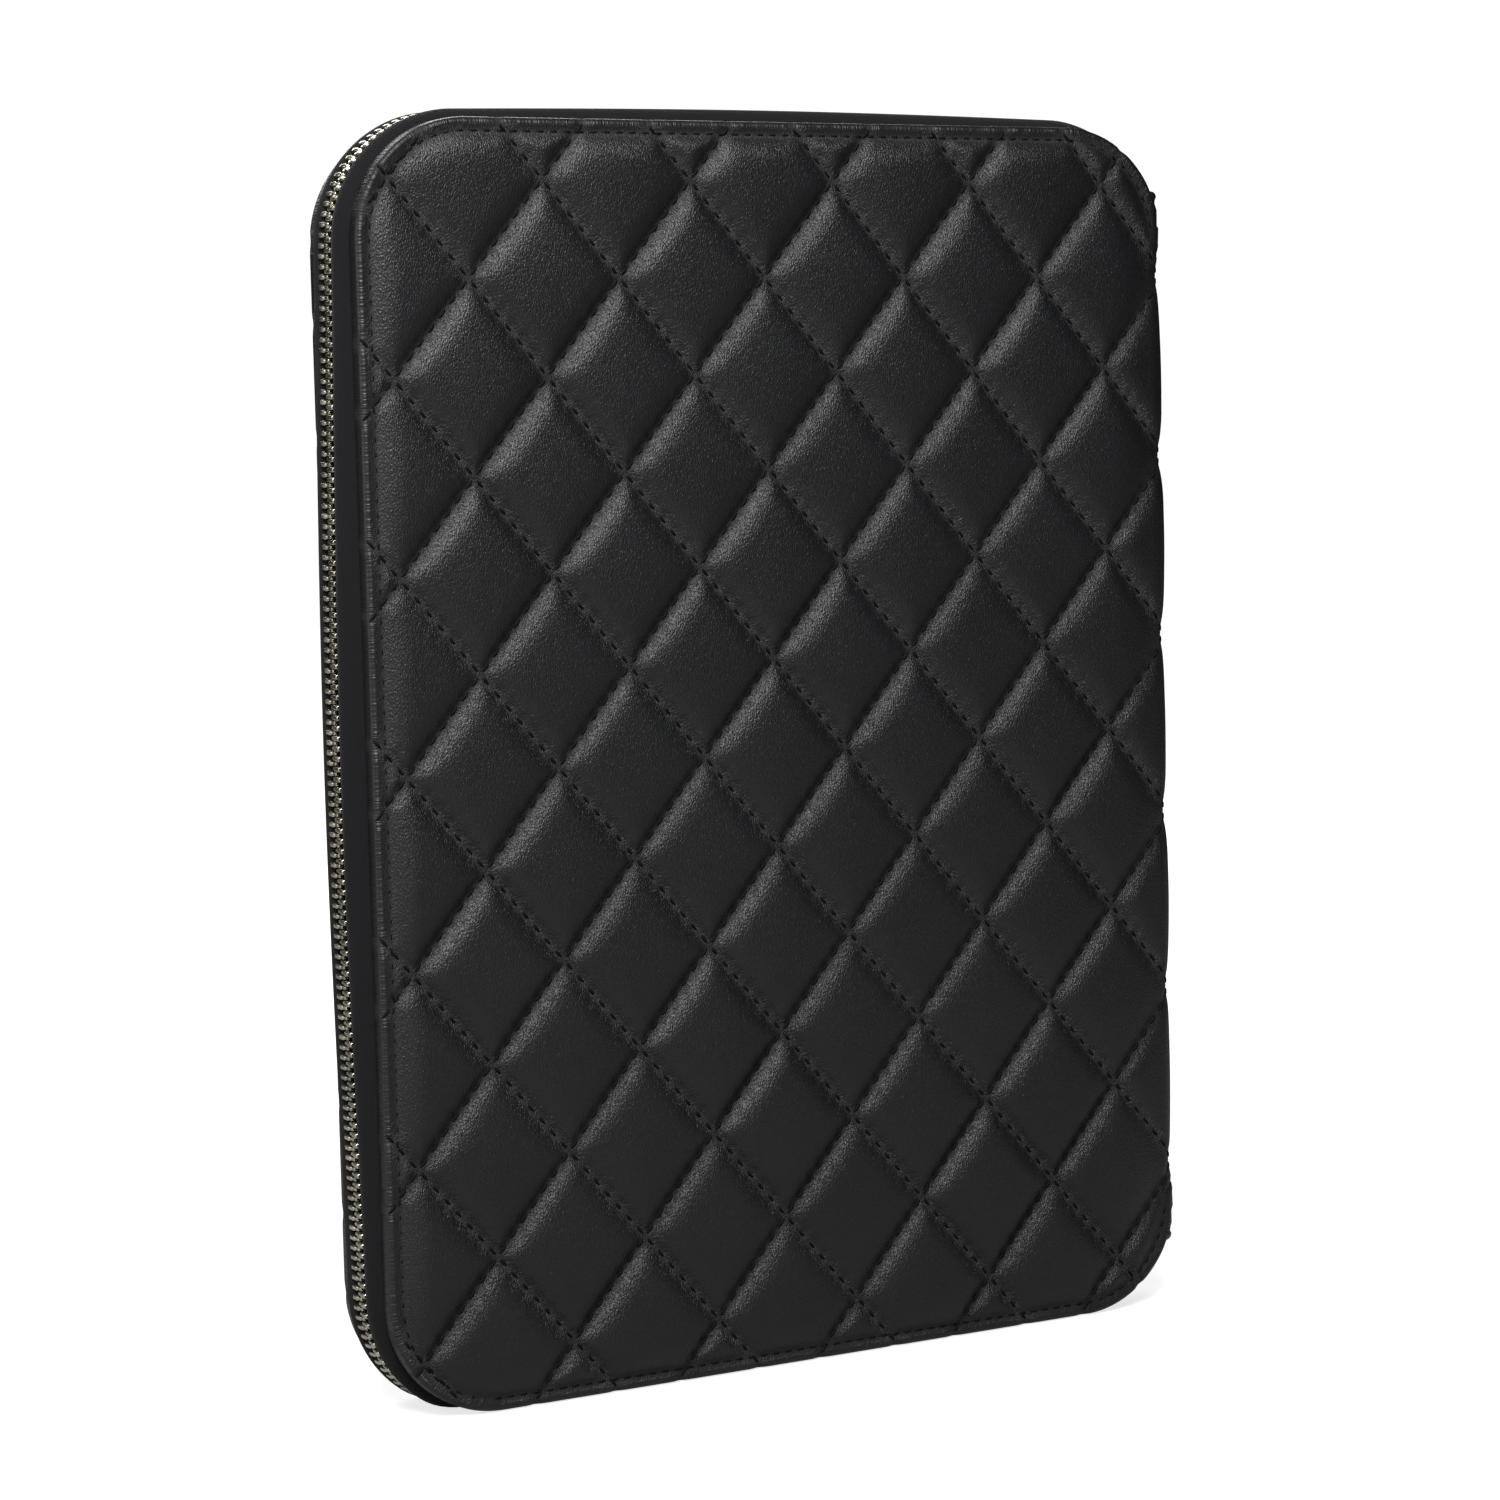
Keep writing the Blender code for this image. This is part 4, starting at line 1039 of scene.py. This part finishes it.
def zip_route(lower_turn, upper_turn, lower_start=None):
    """Places, outward directions and stand, a route step apart, along the zip.

    It starts on the base or round the lower spine corner, and goes by the free side and the top
    to the upper spine corner. Turns are in degrees round the spine corners.
    """
    leather, zipper, _ = settings()
    r = leather.corner
    near, far = r, WIDTH - r
    low, high = r, HEIGHT - r

    def arc(centre_along, centre_up, start, end):
        count = max(int(abs(radians(end - start)) * r / ROUTE_STEP), 2)
        turn = np.radians(np.linspace(start, end, count, endpoint=False))
        out = np.stack([np.cos(turn), np.sin(turn)], axis=1)
        return np.array([centre_along, centre_up]) + r * out, out

    def straight(first, last, out):
        first, last = np.array(first, float), np.array(last, float)
        count = int(np.linalg.norm(last - first) / ROUTE_STEP)
        share = np.linspace(0, 1, count, endpoint=False)[:, None]
        return first + (last - first) * share, np.tile(np.array(out, float), (count, 1))

    base_start = far if lower_start is None else lower_start
    parts = []
    if lower_start is None:
        parts.append(arc(far, low, 270 + lower_turn, 270))
    parts += [
        straight((base_start, 0), (near, 0), (0, -1)),
        arc(near, low, 270, 180),
        straight((0, low), (0, high), (-1, 0)),
        arc(near, high, 180, 90),
        straight((near, HEIGHT), (far, HEIGHT), (0, 1)),
        arc(far, high, 90, 90 - upper_turn),
    ]
    places = np.vstack([part[0] for part in parts])
    outs = np.vstack([part[1] for part in parts])
    along, up = places[:, 0], places[:, 1]
    side_share = np.sin(pi * np.clip((up - low * 0.4) / (HEIGHT - low * 0.8), 0, 1)) ** 1.5
    stand = zipper.stand + zipper.side_bulge * side_share * ease(along, near * 0.8, 0)
    top_share = np.sin(pi * np.clip((along - near * 0.5) / (WIDTH - near), 0, 1))
    stand = stand + zipper.top_bulge * top_share * ease(up, high, HEIGHT - 2 * MM)
    deep = zipper.stand + 5.4 * MM
    pressed = (1 - ease(up, 0, 9.6 * MM)) * ease(along, near - 14.4 * MM, near + 10 * MM)
    stand = stand - pressed * (deep + stand - zipper.stand)
    return places, outs, stand


def sweep(name, places, outs, stand, section, side, step):
    """A closed solid swept along the zip. A section is points (proud, out) for a stand."""
    places, outs, stand = places[::step], outs[::step], stand[::step]
    rings = np.array([section(s) for s in stand])
    count = rings.shape[1]
    along = places[:, None, 0] + outs[:, None, 0] * rings[:, :, 0]
    up = places[:, None, 1] + outs[:, None, 1] * rings[:, :, 0]
    points = np.stack([LEFT + along, side * rings[:, :, 1], up], axis=-1).reshape(-1, 3)
    faces = []
    for base in range(0, (len(places) - 1) * count, count):
        for i in range(count):
            j = (i + 1) % count
            faces.append((base + i, base + j, base + count + j, base + count + i))
    faces.append(tuple(range(count)))
    faces.append(tuple(range(len(points) - count, len(points)))[::-1])
    piece = from_lists(name, points, faces)
    face_outwards(piece)
    around = np.linalg.norm(np.diff(rings.mean(0), axis=0, append=rings.mean(0)[:1]), axis=1)
    around = np.r_[0, np.cumsum(around)[:-1]]
    lay_uv(piece, np.repeat(distances(places), count), np.tile(around, len(places)))
    return smooth(piece, 50)


TAPE_THICK = 0.6 * MM
ARCH = 1.3 * MM  # of each tape between the rim and the teeth
TAPE_LOW = 1.8 * MM  # of each tape's sewn edge below the rims' outline
CORD_RADIUS = 0.4 * MM  # of the corded edge
SUNK = 0.1 * MM  # from the tapes' crest down to the middle of the teeth
# Each step of a tooth from its root: its share of the length, and the change in width and height
TOOTH_STEPS = {"neck": (0.14, 0.62, 0.72), "shoulder": (0.16, 1.5, 1.05), "head": (0.2, 0.8, 0.95)}


def tape_section(stand):
    """From the sewn edge behind the rim, over the arch, to the corded edge under the teeth."""
    sewn_out, edge_out = RIM - TURN_END - 0.5 * MM, 2.6 * MM
    middle = []
    for share in np.linspace(0, 1, 9):
        out = sewn_out + (edge_out - sewn_out) * share
        proud = (stand + TAPE_LOW) * sin(share * pi / 2) ** 0.8 - TAPE_LOW
        proud += ARCH * sin(pi * share)
        middle.append((proud, out))
    middle = np.array(middle)
    along = np.gradient(middle, axis=0)
    along /= np.linalg.norm(along, axis=1, keepdims=True)
    across = np.stack([-along[:, 1], along[:, 0]], axis=1) * TAPE_THICK / 2
    upper, lower = middle + across, middle - across
    cord = []
    for turn in (1.1, 0.4, -0.4, -1.1):
        cord.append((stand + CORD_RADIUS * sin(turn), edge_out - CORD_RADIUS * cos(turn)))
    if upper[4, 0] < lower[4, 0]:
        upper, lower = lower, upper
    return np.vstack([upper, cord, lower[::-1]])


def model_tooth():
    """A metal tooth: X along the chain, Y across it, with its head at +Y, Z out of the chain."""
    _, zipper, _ = settings()
    length, width, height = zipper.tooth_length, zipper.tooth_width, zipper.tooth_height
    begin()
    bpy.ops.mesh.primitive_cube_add(
        size=1, location=(0, -length * 0.5, 0), scale=(width, length * 0.52, height)
    )
    tooth = settle(named("tooth_model"))
    far = points_of(tooth)[:, 1] > -length * 0.5
    end = [all(far[v] for v in face.vertices) for face in tooth.data.polygons]
    pick(tooth, end, "polygons")
    edit(tooth, "FACE")
    for share, wide, high in TOOTH_STEPS.values():
        move = {"value": (0, length * share, 0)}
        bpy.ops.mesh.extrude_region_move(TRANSFORM_OT_translate=move)
        bpy.ops.transform.resize(value=(wide, 1, high))
    object_mode()
    round_edges(tooth, 0.16 * MM, 1, 35)
    return tooth


def build_teeth(side):
    """One row of teeth, half a pitch from the other row."""
    leather, zipper, _ = settings()
    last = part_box("front_zip_teeth")[1].x - LEFT
    base_end = min(last, WIDTH - leather.corner - 5 * MM)
    places, outs, stand = zip_route(0, 47, base_end)
    line = places + outs * stand[:, None]
    travelled = distances(line)
    shift = 0.25 if side == FRONT else 0.75
    stops = (np.arange(int(travelled[-1] / zipper.pitch)) + shift) * zipper.pitch
    along, up, out_along, out_up = part_way(np.c_[line, outs], travelled, stops).T
    flat = 0 * stops
    outward = np.stack([out_along, flat, out_up], axis=1)
    middle = np.stack([LEFT + along, flat, up], axis=1) - outward * SUNK
    run = np.cross((0.0, -side, 0.0), outward)
    frames = frames_of(middle, run, outward)
    frames[:, 1, 3] = side * 0.15 * MM
    piece = copies(WORD[side] + "_teeth", model_tooth(), frames)
    smooth(piece, 40)
    dress(piece, "pale nickel")
    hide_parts(WORD[side] + "_zip_teeth")
    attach(piece, COVER[side])


def build_tape(side):
    """One half of the zip's woven tape."""
    places, outs, stand = zip_route(57, 57)
    piece = sweep(WORD[side] + "_tape", places, outs, stand, tape_section, side, 6)
    dress(piece, "twill tape")
    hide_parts(WORD[side] + "_zip_tape")
    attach(piece, COVER[side])


# Pieces that keep the shape of their CAD nodes


def shaped_from(node, name, round_over, material, body, segments=2):
    """A piece with a CAD node's shape, its edges rounded over, in that node's place."""
    begin()
    piece = bpy.data.objects.new(name, frame["nodes"][node].data.copy())
    piece.data.name = name
    bpy.context.scene.collection.objects.link(piece)
    edit(piece)
    bpy.ops.mesh.select_all(action="SELECT")
    bpy.ops.mesh.remove_doubles(threshold=2e-6)
    bpy.ops.mesh.dissolve_limited(angle_limit=radians(0.5))
    object_mode()
    face_outwards(piece)
    round_edges(piece, round_over, segments, 40)
    smooth(piece, 50)
    modify(piece, "WEIGHTED_NORMAL", keep_sharp=True, weight=100)
    dress(piece, material)
    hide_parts(node)
    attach(piece, body)


def stitch_row(name, path, outward, body, pitch=2.6 * MM, closed=False):
    """A row of stitches sunk in a flat face, along a path of places."""
    at, run = walk(np.array(path, float), pitch, closed)
    outward = np.tile(np.array(outward, float), (len(at), 1))
    frames = frames_of(at + outward * 0.02 * MM, run, outward)
    piece = copies(name, model_stitch(pitch * STITCH_SHARE, 0.26 * MM), frames)
    dress(piece, "seam thread")
    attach(piece, body)


def rectangle(low, high, y):
    """A path round a rectangle with cut corners, on a face at y."""
    (x0, z0), (x1, z1) = low, high
    cut = 0.7 * MM
    along_x = [(x0 + cut, z0), (x1 - cut, z0), (x1, z0 + cut), (x1, z1 - cut)]
    back = [(x1 - cut, z1), (x0 + cut, z1), (x0, z1 - cut), (x0, z0 + cut)]
    return [(x, y, z) for x, z in along_x + back]


def build_linings():
    """The suede on the boards, and the folded strips that join it across the folds."""
    for word, body in (("front", "front_cover"), ("back", "back_cover"), ("spine", "spine")):
        shaped_from(word + "_lining", word + "_suede", 0.35 * MM, "suede lining", body)
    for side in (FRONT, BACK):
        build_gusset(side)


def build_gusset(side):
    """A strip of suede folded inwards between a cover's lining and the spine's."""
    # Millimetres from the fold, and in from the rims' plane
    bends = [(-9.0, 4.5), (-8.0, 4.5), (-6.6, 4.35), (-5.2, 4.0), (-4.2, 4.2), (-4.0, 5.2)]
    bends += [(-4.25, 6.6), (-4.25, 8.0), (-4.25, 9.0)]
    path = np.array(bends) * MM
    low, high = SPINE_END + 2.5 * MM, HEIGHT - SPINE_END - 2.5 * MM
    begin()
    bpy.ops.mesh.primitive_grid_add(x_subdivisions=24, y_subdivisions=60, size=1)
    piece = named("fold_strip_" + WORD[side])
    places = points_of(piece)
    steps = distances(path)
    x, deep = part_way(path, steps, (places[:, 0] + 0.5) * steps[-1]).T
    z = low + (places[:, 1] + 0.5) * (high - low)
    move_points(piece, np.stack([FOLD + x, side * (RIM - deep), z], axis=1))
    modify(piece, "SOLIDIFY", thickness=0.5 * MM, offset=0)
    face_outwards(piece)
    smooth(piece, 50)
    dress(piece, "suede lining")
    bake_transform(piece)


def build_boards():
    """Gives the stiffener boards, which stay as the CAD has them, their finish."""
    for word in ("front", "back", "spine"):
        board = frame["nodes"][word + "_board"]
        board.data.materials.clear()
        board.data.materials.append(bpy.data.materials["millboard"])


def build_pockets():
    """The two open pockets, with their sewn sides and hemmed mouths."""
    for side in (FRONT, BACK):
        word, body = WORD[side], COVER[side]
        low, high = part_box(word + "_pocket")
        shaped_from(word + "_pocket", word + "_patch_pocket", 0.3 * MM, "plain lambskin", body)
        face = high.y if side == FRONT else low.y
        inset = 1.8 * MM
        left, right, bottom = low.x + inset, high.x - inset, low.z + inset
        mouth, hem = high.z - 3.4 * MM, high.z - 2.4 * MM
        sides = [(left, mouth), (left, bottom + MM), (left + MM, bottom)]
        sides += [(right - MM, bottom), (right, bottom + MM), (right, mouth)]
        for name, line in (("side", sides), ("hem", [(left, hem), (right, hem)])):
            path = [(x, face, z) for x, z in line]
            stitch_row("%s_pocket_%s_stitches" % (word, name), path, (0, -side, 0), body)


def build_earring_panel():
    """The leather panel with pairs of holes for earrings."""
    low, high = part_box("earring_panel")
    shaped_from("earring_panel", "earring_board", 0.22 * MM, "plain lambskin", "front_cover")
    inset = 2 * MM
    path = rectangle((low.x + inset, low.z + inset), (high.x - inset, high.z - inset), high.y)
    stitch_row("earring_panel_stitches", path, (0, 1, 0), "front_cover", closed=True)


def build_necklace_straps():
    """Three short straps with snaps that hold necklaces."""
    body, inset = "front_cover", 1.3 * MM
    for number in (1, 2, 3):
        strap, snap = "necklace_strap_%d" % number, "necklace_snap_%d" % number
        low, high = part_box(strap)
        shaped_from(strap, "necklace_loop_%d" % number, 0.25 * MM, "plain lambskin", body)
        shaped_from(snap, "necklace_press_stud_%d" % number, 0.22 * MM, "pale nickel", body)
        for word, x in (("left", low.x + inset), ("right", high.x - inset)):
            path = [(x, high.y, low.z + inset), (x, high.y, high.z - inset)]
            name = "necklace_%d_%s_stitches" % (number, word)
            stitch_row(name, path, (0, 1, 0), body, 2.2 * MM)


def build_ring_roll():
    """The padded roll that rings are threaded on, its strap, rivet and snap."""
    low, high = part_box("ring_roll")
    radius = (high.z - low.z) / 2
    middle = (Vector(low) + Vector(high)) / 2
    length = high.x - low.x
    begin()
    bpy.ops.mesh.primitive_cylinder_add(vertices=28, radius=1, depth=2, end_fill_type="TRIFAN")
    roll = named("ring_cushion")
    ends = points_of(roll)[:, 2]
    lengthwise = [ends[edge.vertices[0]] * ends[edge.vertices[1]] < 0 for edge in roll.data.edges]
    pick(roll, lengthwise, "edges")
    edit(roll, "EDGE")
    bpy.ops.mesh.subdivide(number_cuts=84)
    object_mode()
    across, up, along = points_of(roll).T
    swell = 0.94 + 0.04 * np.sin(along * 31) + 0.02 * np.sin(along * 67 + 1)
    gather = 1 - 0.5 * np.clip((np.abs(along) - 0.93) / 0.07, 0, 1) ** 2
    pleats = 1 + 0.05 * np.cos(np.arctan2(up, across) * 9) * ease(np.abs(along), 0.86, 0.98)
    scale = radius * swell * gather * pleats
    x = middle.x + along * length / 2
    y = middle.y + across * scale * (high.y - low.y) / (2 * radius)
    move_points(roll, np.stack([x, y, middle.z + up * scale], axis=1))
    face_outwards(roll)
    swell_cloth(roll, 0.35 * MM, low, high)
    smooth(roll)
    dress(roll, "plain lambskin")
    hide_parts("ring_roll")
    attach(roll, "ring_bar")
    shaped_from("ring_strap", "ring_band", 0.3 * MM, "plain lambskin", "ring_bar")
    shaped_from("ring_snap_cap", "ring_stud_cap", 0.25 * MM, "pale nickel", "ring_bar")
    shaped_from("ring_snap_socket", "ring_stud_socket", 0.2 * MM, "pale nickel", "back_cover")
    shaped_from("ring_rivet", "ring_bar_rivet", 0.25 * MM, "pale nickel", "back_cover")


SWELL_FRAMES = 12


def swell_cloth(piece, most, low, high):
    """Lets a closed skin swell under pressure as cloth, by no more than a given distance."""
    before = points_of(piece)
    only(piece)
    cloth = piece.modifiers.new("swelling", "CLOTH")
    cloth.settings.use_pressure = True
    cloth.settings.uniform_pressure_force = 4
    cloth.settings.effector_weights.gravity = 0
    cloth.settings.quality = 4
    scene = bpy.context.scene
    for step in range(1, SWELL_FRAMES + 1):
        scene.frame_set(step)
    bpy.ops.object.modifier_apply(modifier=cloth.name)
    scene.frame_set(1)
    after = points_of(piece)
    moved = after - before
    far = np.linalg.norm(moved, axis=1, keepdims=True)
    after = before + moved * np.minimum(1, most / np.maximum(far, 1e-9))
    move_points(piece, np.clip(after, np.array(low), np.array(high)))


def build_slider():
    """The slider, its pull and the four stops."""
    shaped_from("zip_slider", "slider_body", 0.3 * MM, "pale nickel", "zip_slider", 3)
    shaped_from("zip_pull", "pull_tab", 0.25 * MM, "pale nickel", "zip_pull", 3)
    for side in (FRONT, BACK):
        for end in ("upper", "lower"):
            stop = "%s_%s_" % (WORD[side], end)
            shaped_from(stop + "stop", stop + "end", 0.2 * MM, "pale nickel", COVER[side])


# Stage


FLOOR_GREY = (0.3, 0.3, 0.3, 1)
FLOOR_GLOW = (0.16, 0.6, 0.76, 1.1)  # from this far to this far off, from this strength to this
ROOM_GLOW = 1.05  # of the room as the camera sees it


def build_stage():
    """Floor, soft lights, a pale room and the camera."""
    _, _, stage = settings()
    begin()
    bpy.ops.mesh.primitive_circle_add(
        vertices=96, radius=3, fill_type="NGON", location=(0, 0, -0.2 * MM)
    )
    floor = named("floor")
    material, nodes, shader = new_material("pale floor", 0.9, specular=0.1)
    shader.inputs["Base Color"].default_value = FLOOR_GREY
    shader.inputs["Emission Color"].default_value = WHITE
    seen = nodes.add("LightPath").outputs["Is Camera Ray"]
    away = nodes.add("VectorMath", operation="LENGTH")
    nodes.link(place_of(nodes), away.inputs[0])
    glow = nodes.spread(away.outputs["Value"], *FLOOR_GLOW)
    nodes.link(nodes.maths("MULTIPLY", seen, glow), shader.inputs["Emission Strength"])
    floor.data.materials.append(material)
    settle(floor)

    world = bpy.data.worlds.new("pale room")
    bpy.context.scene.world = world
    world.use_nodes = True
    nodes = Nodes(world.node_tree)
    back = world.node_tree.nodes["Background"]
    seen = nodes.add("LightPath").outputs["Is Camera Ray"]
    nodes.link(nodes.spread(seen, 0, 1, stage.fill, ROOM_GLOW), back.inputs["Strength"])
    back.inputs["Color"].default_value = WHITE

    middle = Vector((0, 0, HEIGHT / 2))
    for name, direction, distance, size, power in (
        ("key_light", (-0.42, -0.62, 0.66), 1.0, 0.42, stage.key),
        ("side_light", (-0.97, 0.05, 0.25), 0.9, 0.5, stage.key * 0.12),
        ("top_light", (0.1, 0.75, 0.65), 1.2, 0.8, stage.key * 0.5),
    ):
        light = bpy.data.lights.new(name, "AREA")
        light.shape, light.size, light.size_y = "RECTANGLE", size, size
        light.energy = power
        holder = bpy.data.objects.new(name, light)
        bpy.context.scene.collection.objects.link(holder)
        aim = Vector(direction).normalized()
        holder.location = middle + aim * distance
        holder.rotation_euler = aim.to_track_quat("Z", "Y").to_euler()

    camera = bpy.data.cameras.new("camera")
    camera.lens = stage.lens
    camera.clip_start = 0.01
    holder = bpy.data.objects.new("camera", camera)
    holder.location = stage.camera_place
    holder.rotation_euler = Euler(stage.camera_turn)
    bpy.context.scene.collection.objects.link(holder)
    bpy.context.scene.camera = holder
    bpy.context.scene.view_settings.view_transform = "Standard"


class QuiltingOperator(bpy.types.Operator):
    """Makes the quilted leather of both covers and the spine, with its stitching"""

    bl_idname = "jewellery_case.quilting"
    bl_label = "Quilted leather"

    def execute(self, context):
        for side in (FRONT, BACK):
            build_quilted_skin(side)
            build_quilt_stitches(side)
            build_edge_stitches(side)
        return {"FINISHED"}


class BoardsOperator(bpy.types.Operator):
    """Finishes the boards and makes the suede linings over them"""

    bl_idname = "jewellery_case.boards"
    bl_label = "Boards and linings"

    def execute(self, context):
        build_boards()
        build_linings()
        return {"FINISHED"}


class ZipOperator(bpy.types.Operator):
    """Makes the tapes, both rows of teeth, the slider, its pull and the stops"""

    bl_idname = "jewellery_case.zip"
    bl_label = "Zip"

    def execute(self, context):
        for side in (FRONT, BACK):
            build_tape(side)
            build_teeth(side)
        build_slider()
        return {"FINISHED"}


class PocketsOperator(bpy.types.Operator):
    """Makes the two pockets and their stitching"""

    bl_idname = "jewellery_case.pockets"
    bl_label = "Pockets"

    def execute(self, context):
        build_pockets()
        return {"FINISHED"}


class HoldersOperator(bpy.types.Operator):
    """Makes the earring panel, the necklace straps and the ring roll"""

    bl_idname = "jewellery_case.holders"
    bl_label = "Jewellery holders"

    def execute(self, context):
        build_earring_panel()
        build_necklace_straps()
        build_ring_roll()
        return {"FINISHED"}


class StageOperator(bpy.types.Operator):
    """Makes the floor, the soft lights and the camera"""

    bl_idname = "jewellery_case.stage"
    bl_label = "Stage"

    def execute(self, context):
        build_stage()
        return {"FINISHED"}


OPERATORS = (
    QuiltingOperator,
    BoardsOperator,
    ZipOperator,
    PocketsOperator,
    HoldersOperator,
    StageOperator,
)


class CasePanel(bpy.types.Panel):
    """Lists the case's settings and operators"""

    bl_idname = "VIEW3D_PT_jewellery_case"
    bl_label = "Jewellery case"
    bl_space_type = "VIEW_3D"
    bl_region_type = "UI"
    bl_category = "Jewellery Case"

    def draw(self, context):
        for group in settings():
            box = self.layout.box()
            for name in group.__annotations__:
                box.prop(group, name)
        for operator in OPERATORS:
            self.layout.operator(operator.bl_idname)


SETTINGS = {
    "case_leather": LeatherSettings,
    "case_zip": ZipSettings,
    "case_stage": StageSettings,
}


def register():
    """Adds the settings, the operators and the panel."""
    for kind in (*SETTINGS.values(), *OPERATORS, CasePanel):
        bpy.utils.register_class(kind)
    for name, kind in SETTINGS.items():
        setattr(bpy.types.Scene, name, bpy.props.PointerProperty(type=kind))


def unregister():
    """Takes them away again."""
    for name in SETTINGS:
        delattr(bpy.types.Scene, name)
    for kind in reversed((*SETTINGS.values(), *OPERATORS, CasePanel)):
        bpy.utils.unregister_class(kind)


def main():
    """Builds all the pieces and the stage."""
    register()
    build_materials()
    bpy.ops.jewellery_case.quilting()
    bpy.ops.jewellery_case.boards()
    bpy.ops.jewellery_case.zip()
    bpy.ops.jewellery_case.pockets()
    bpy.ops.jewellery_case.holders()
    bpy.ops.jewellery_case.stage()


if __name__ == "__main__":
    main()
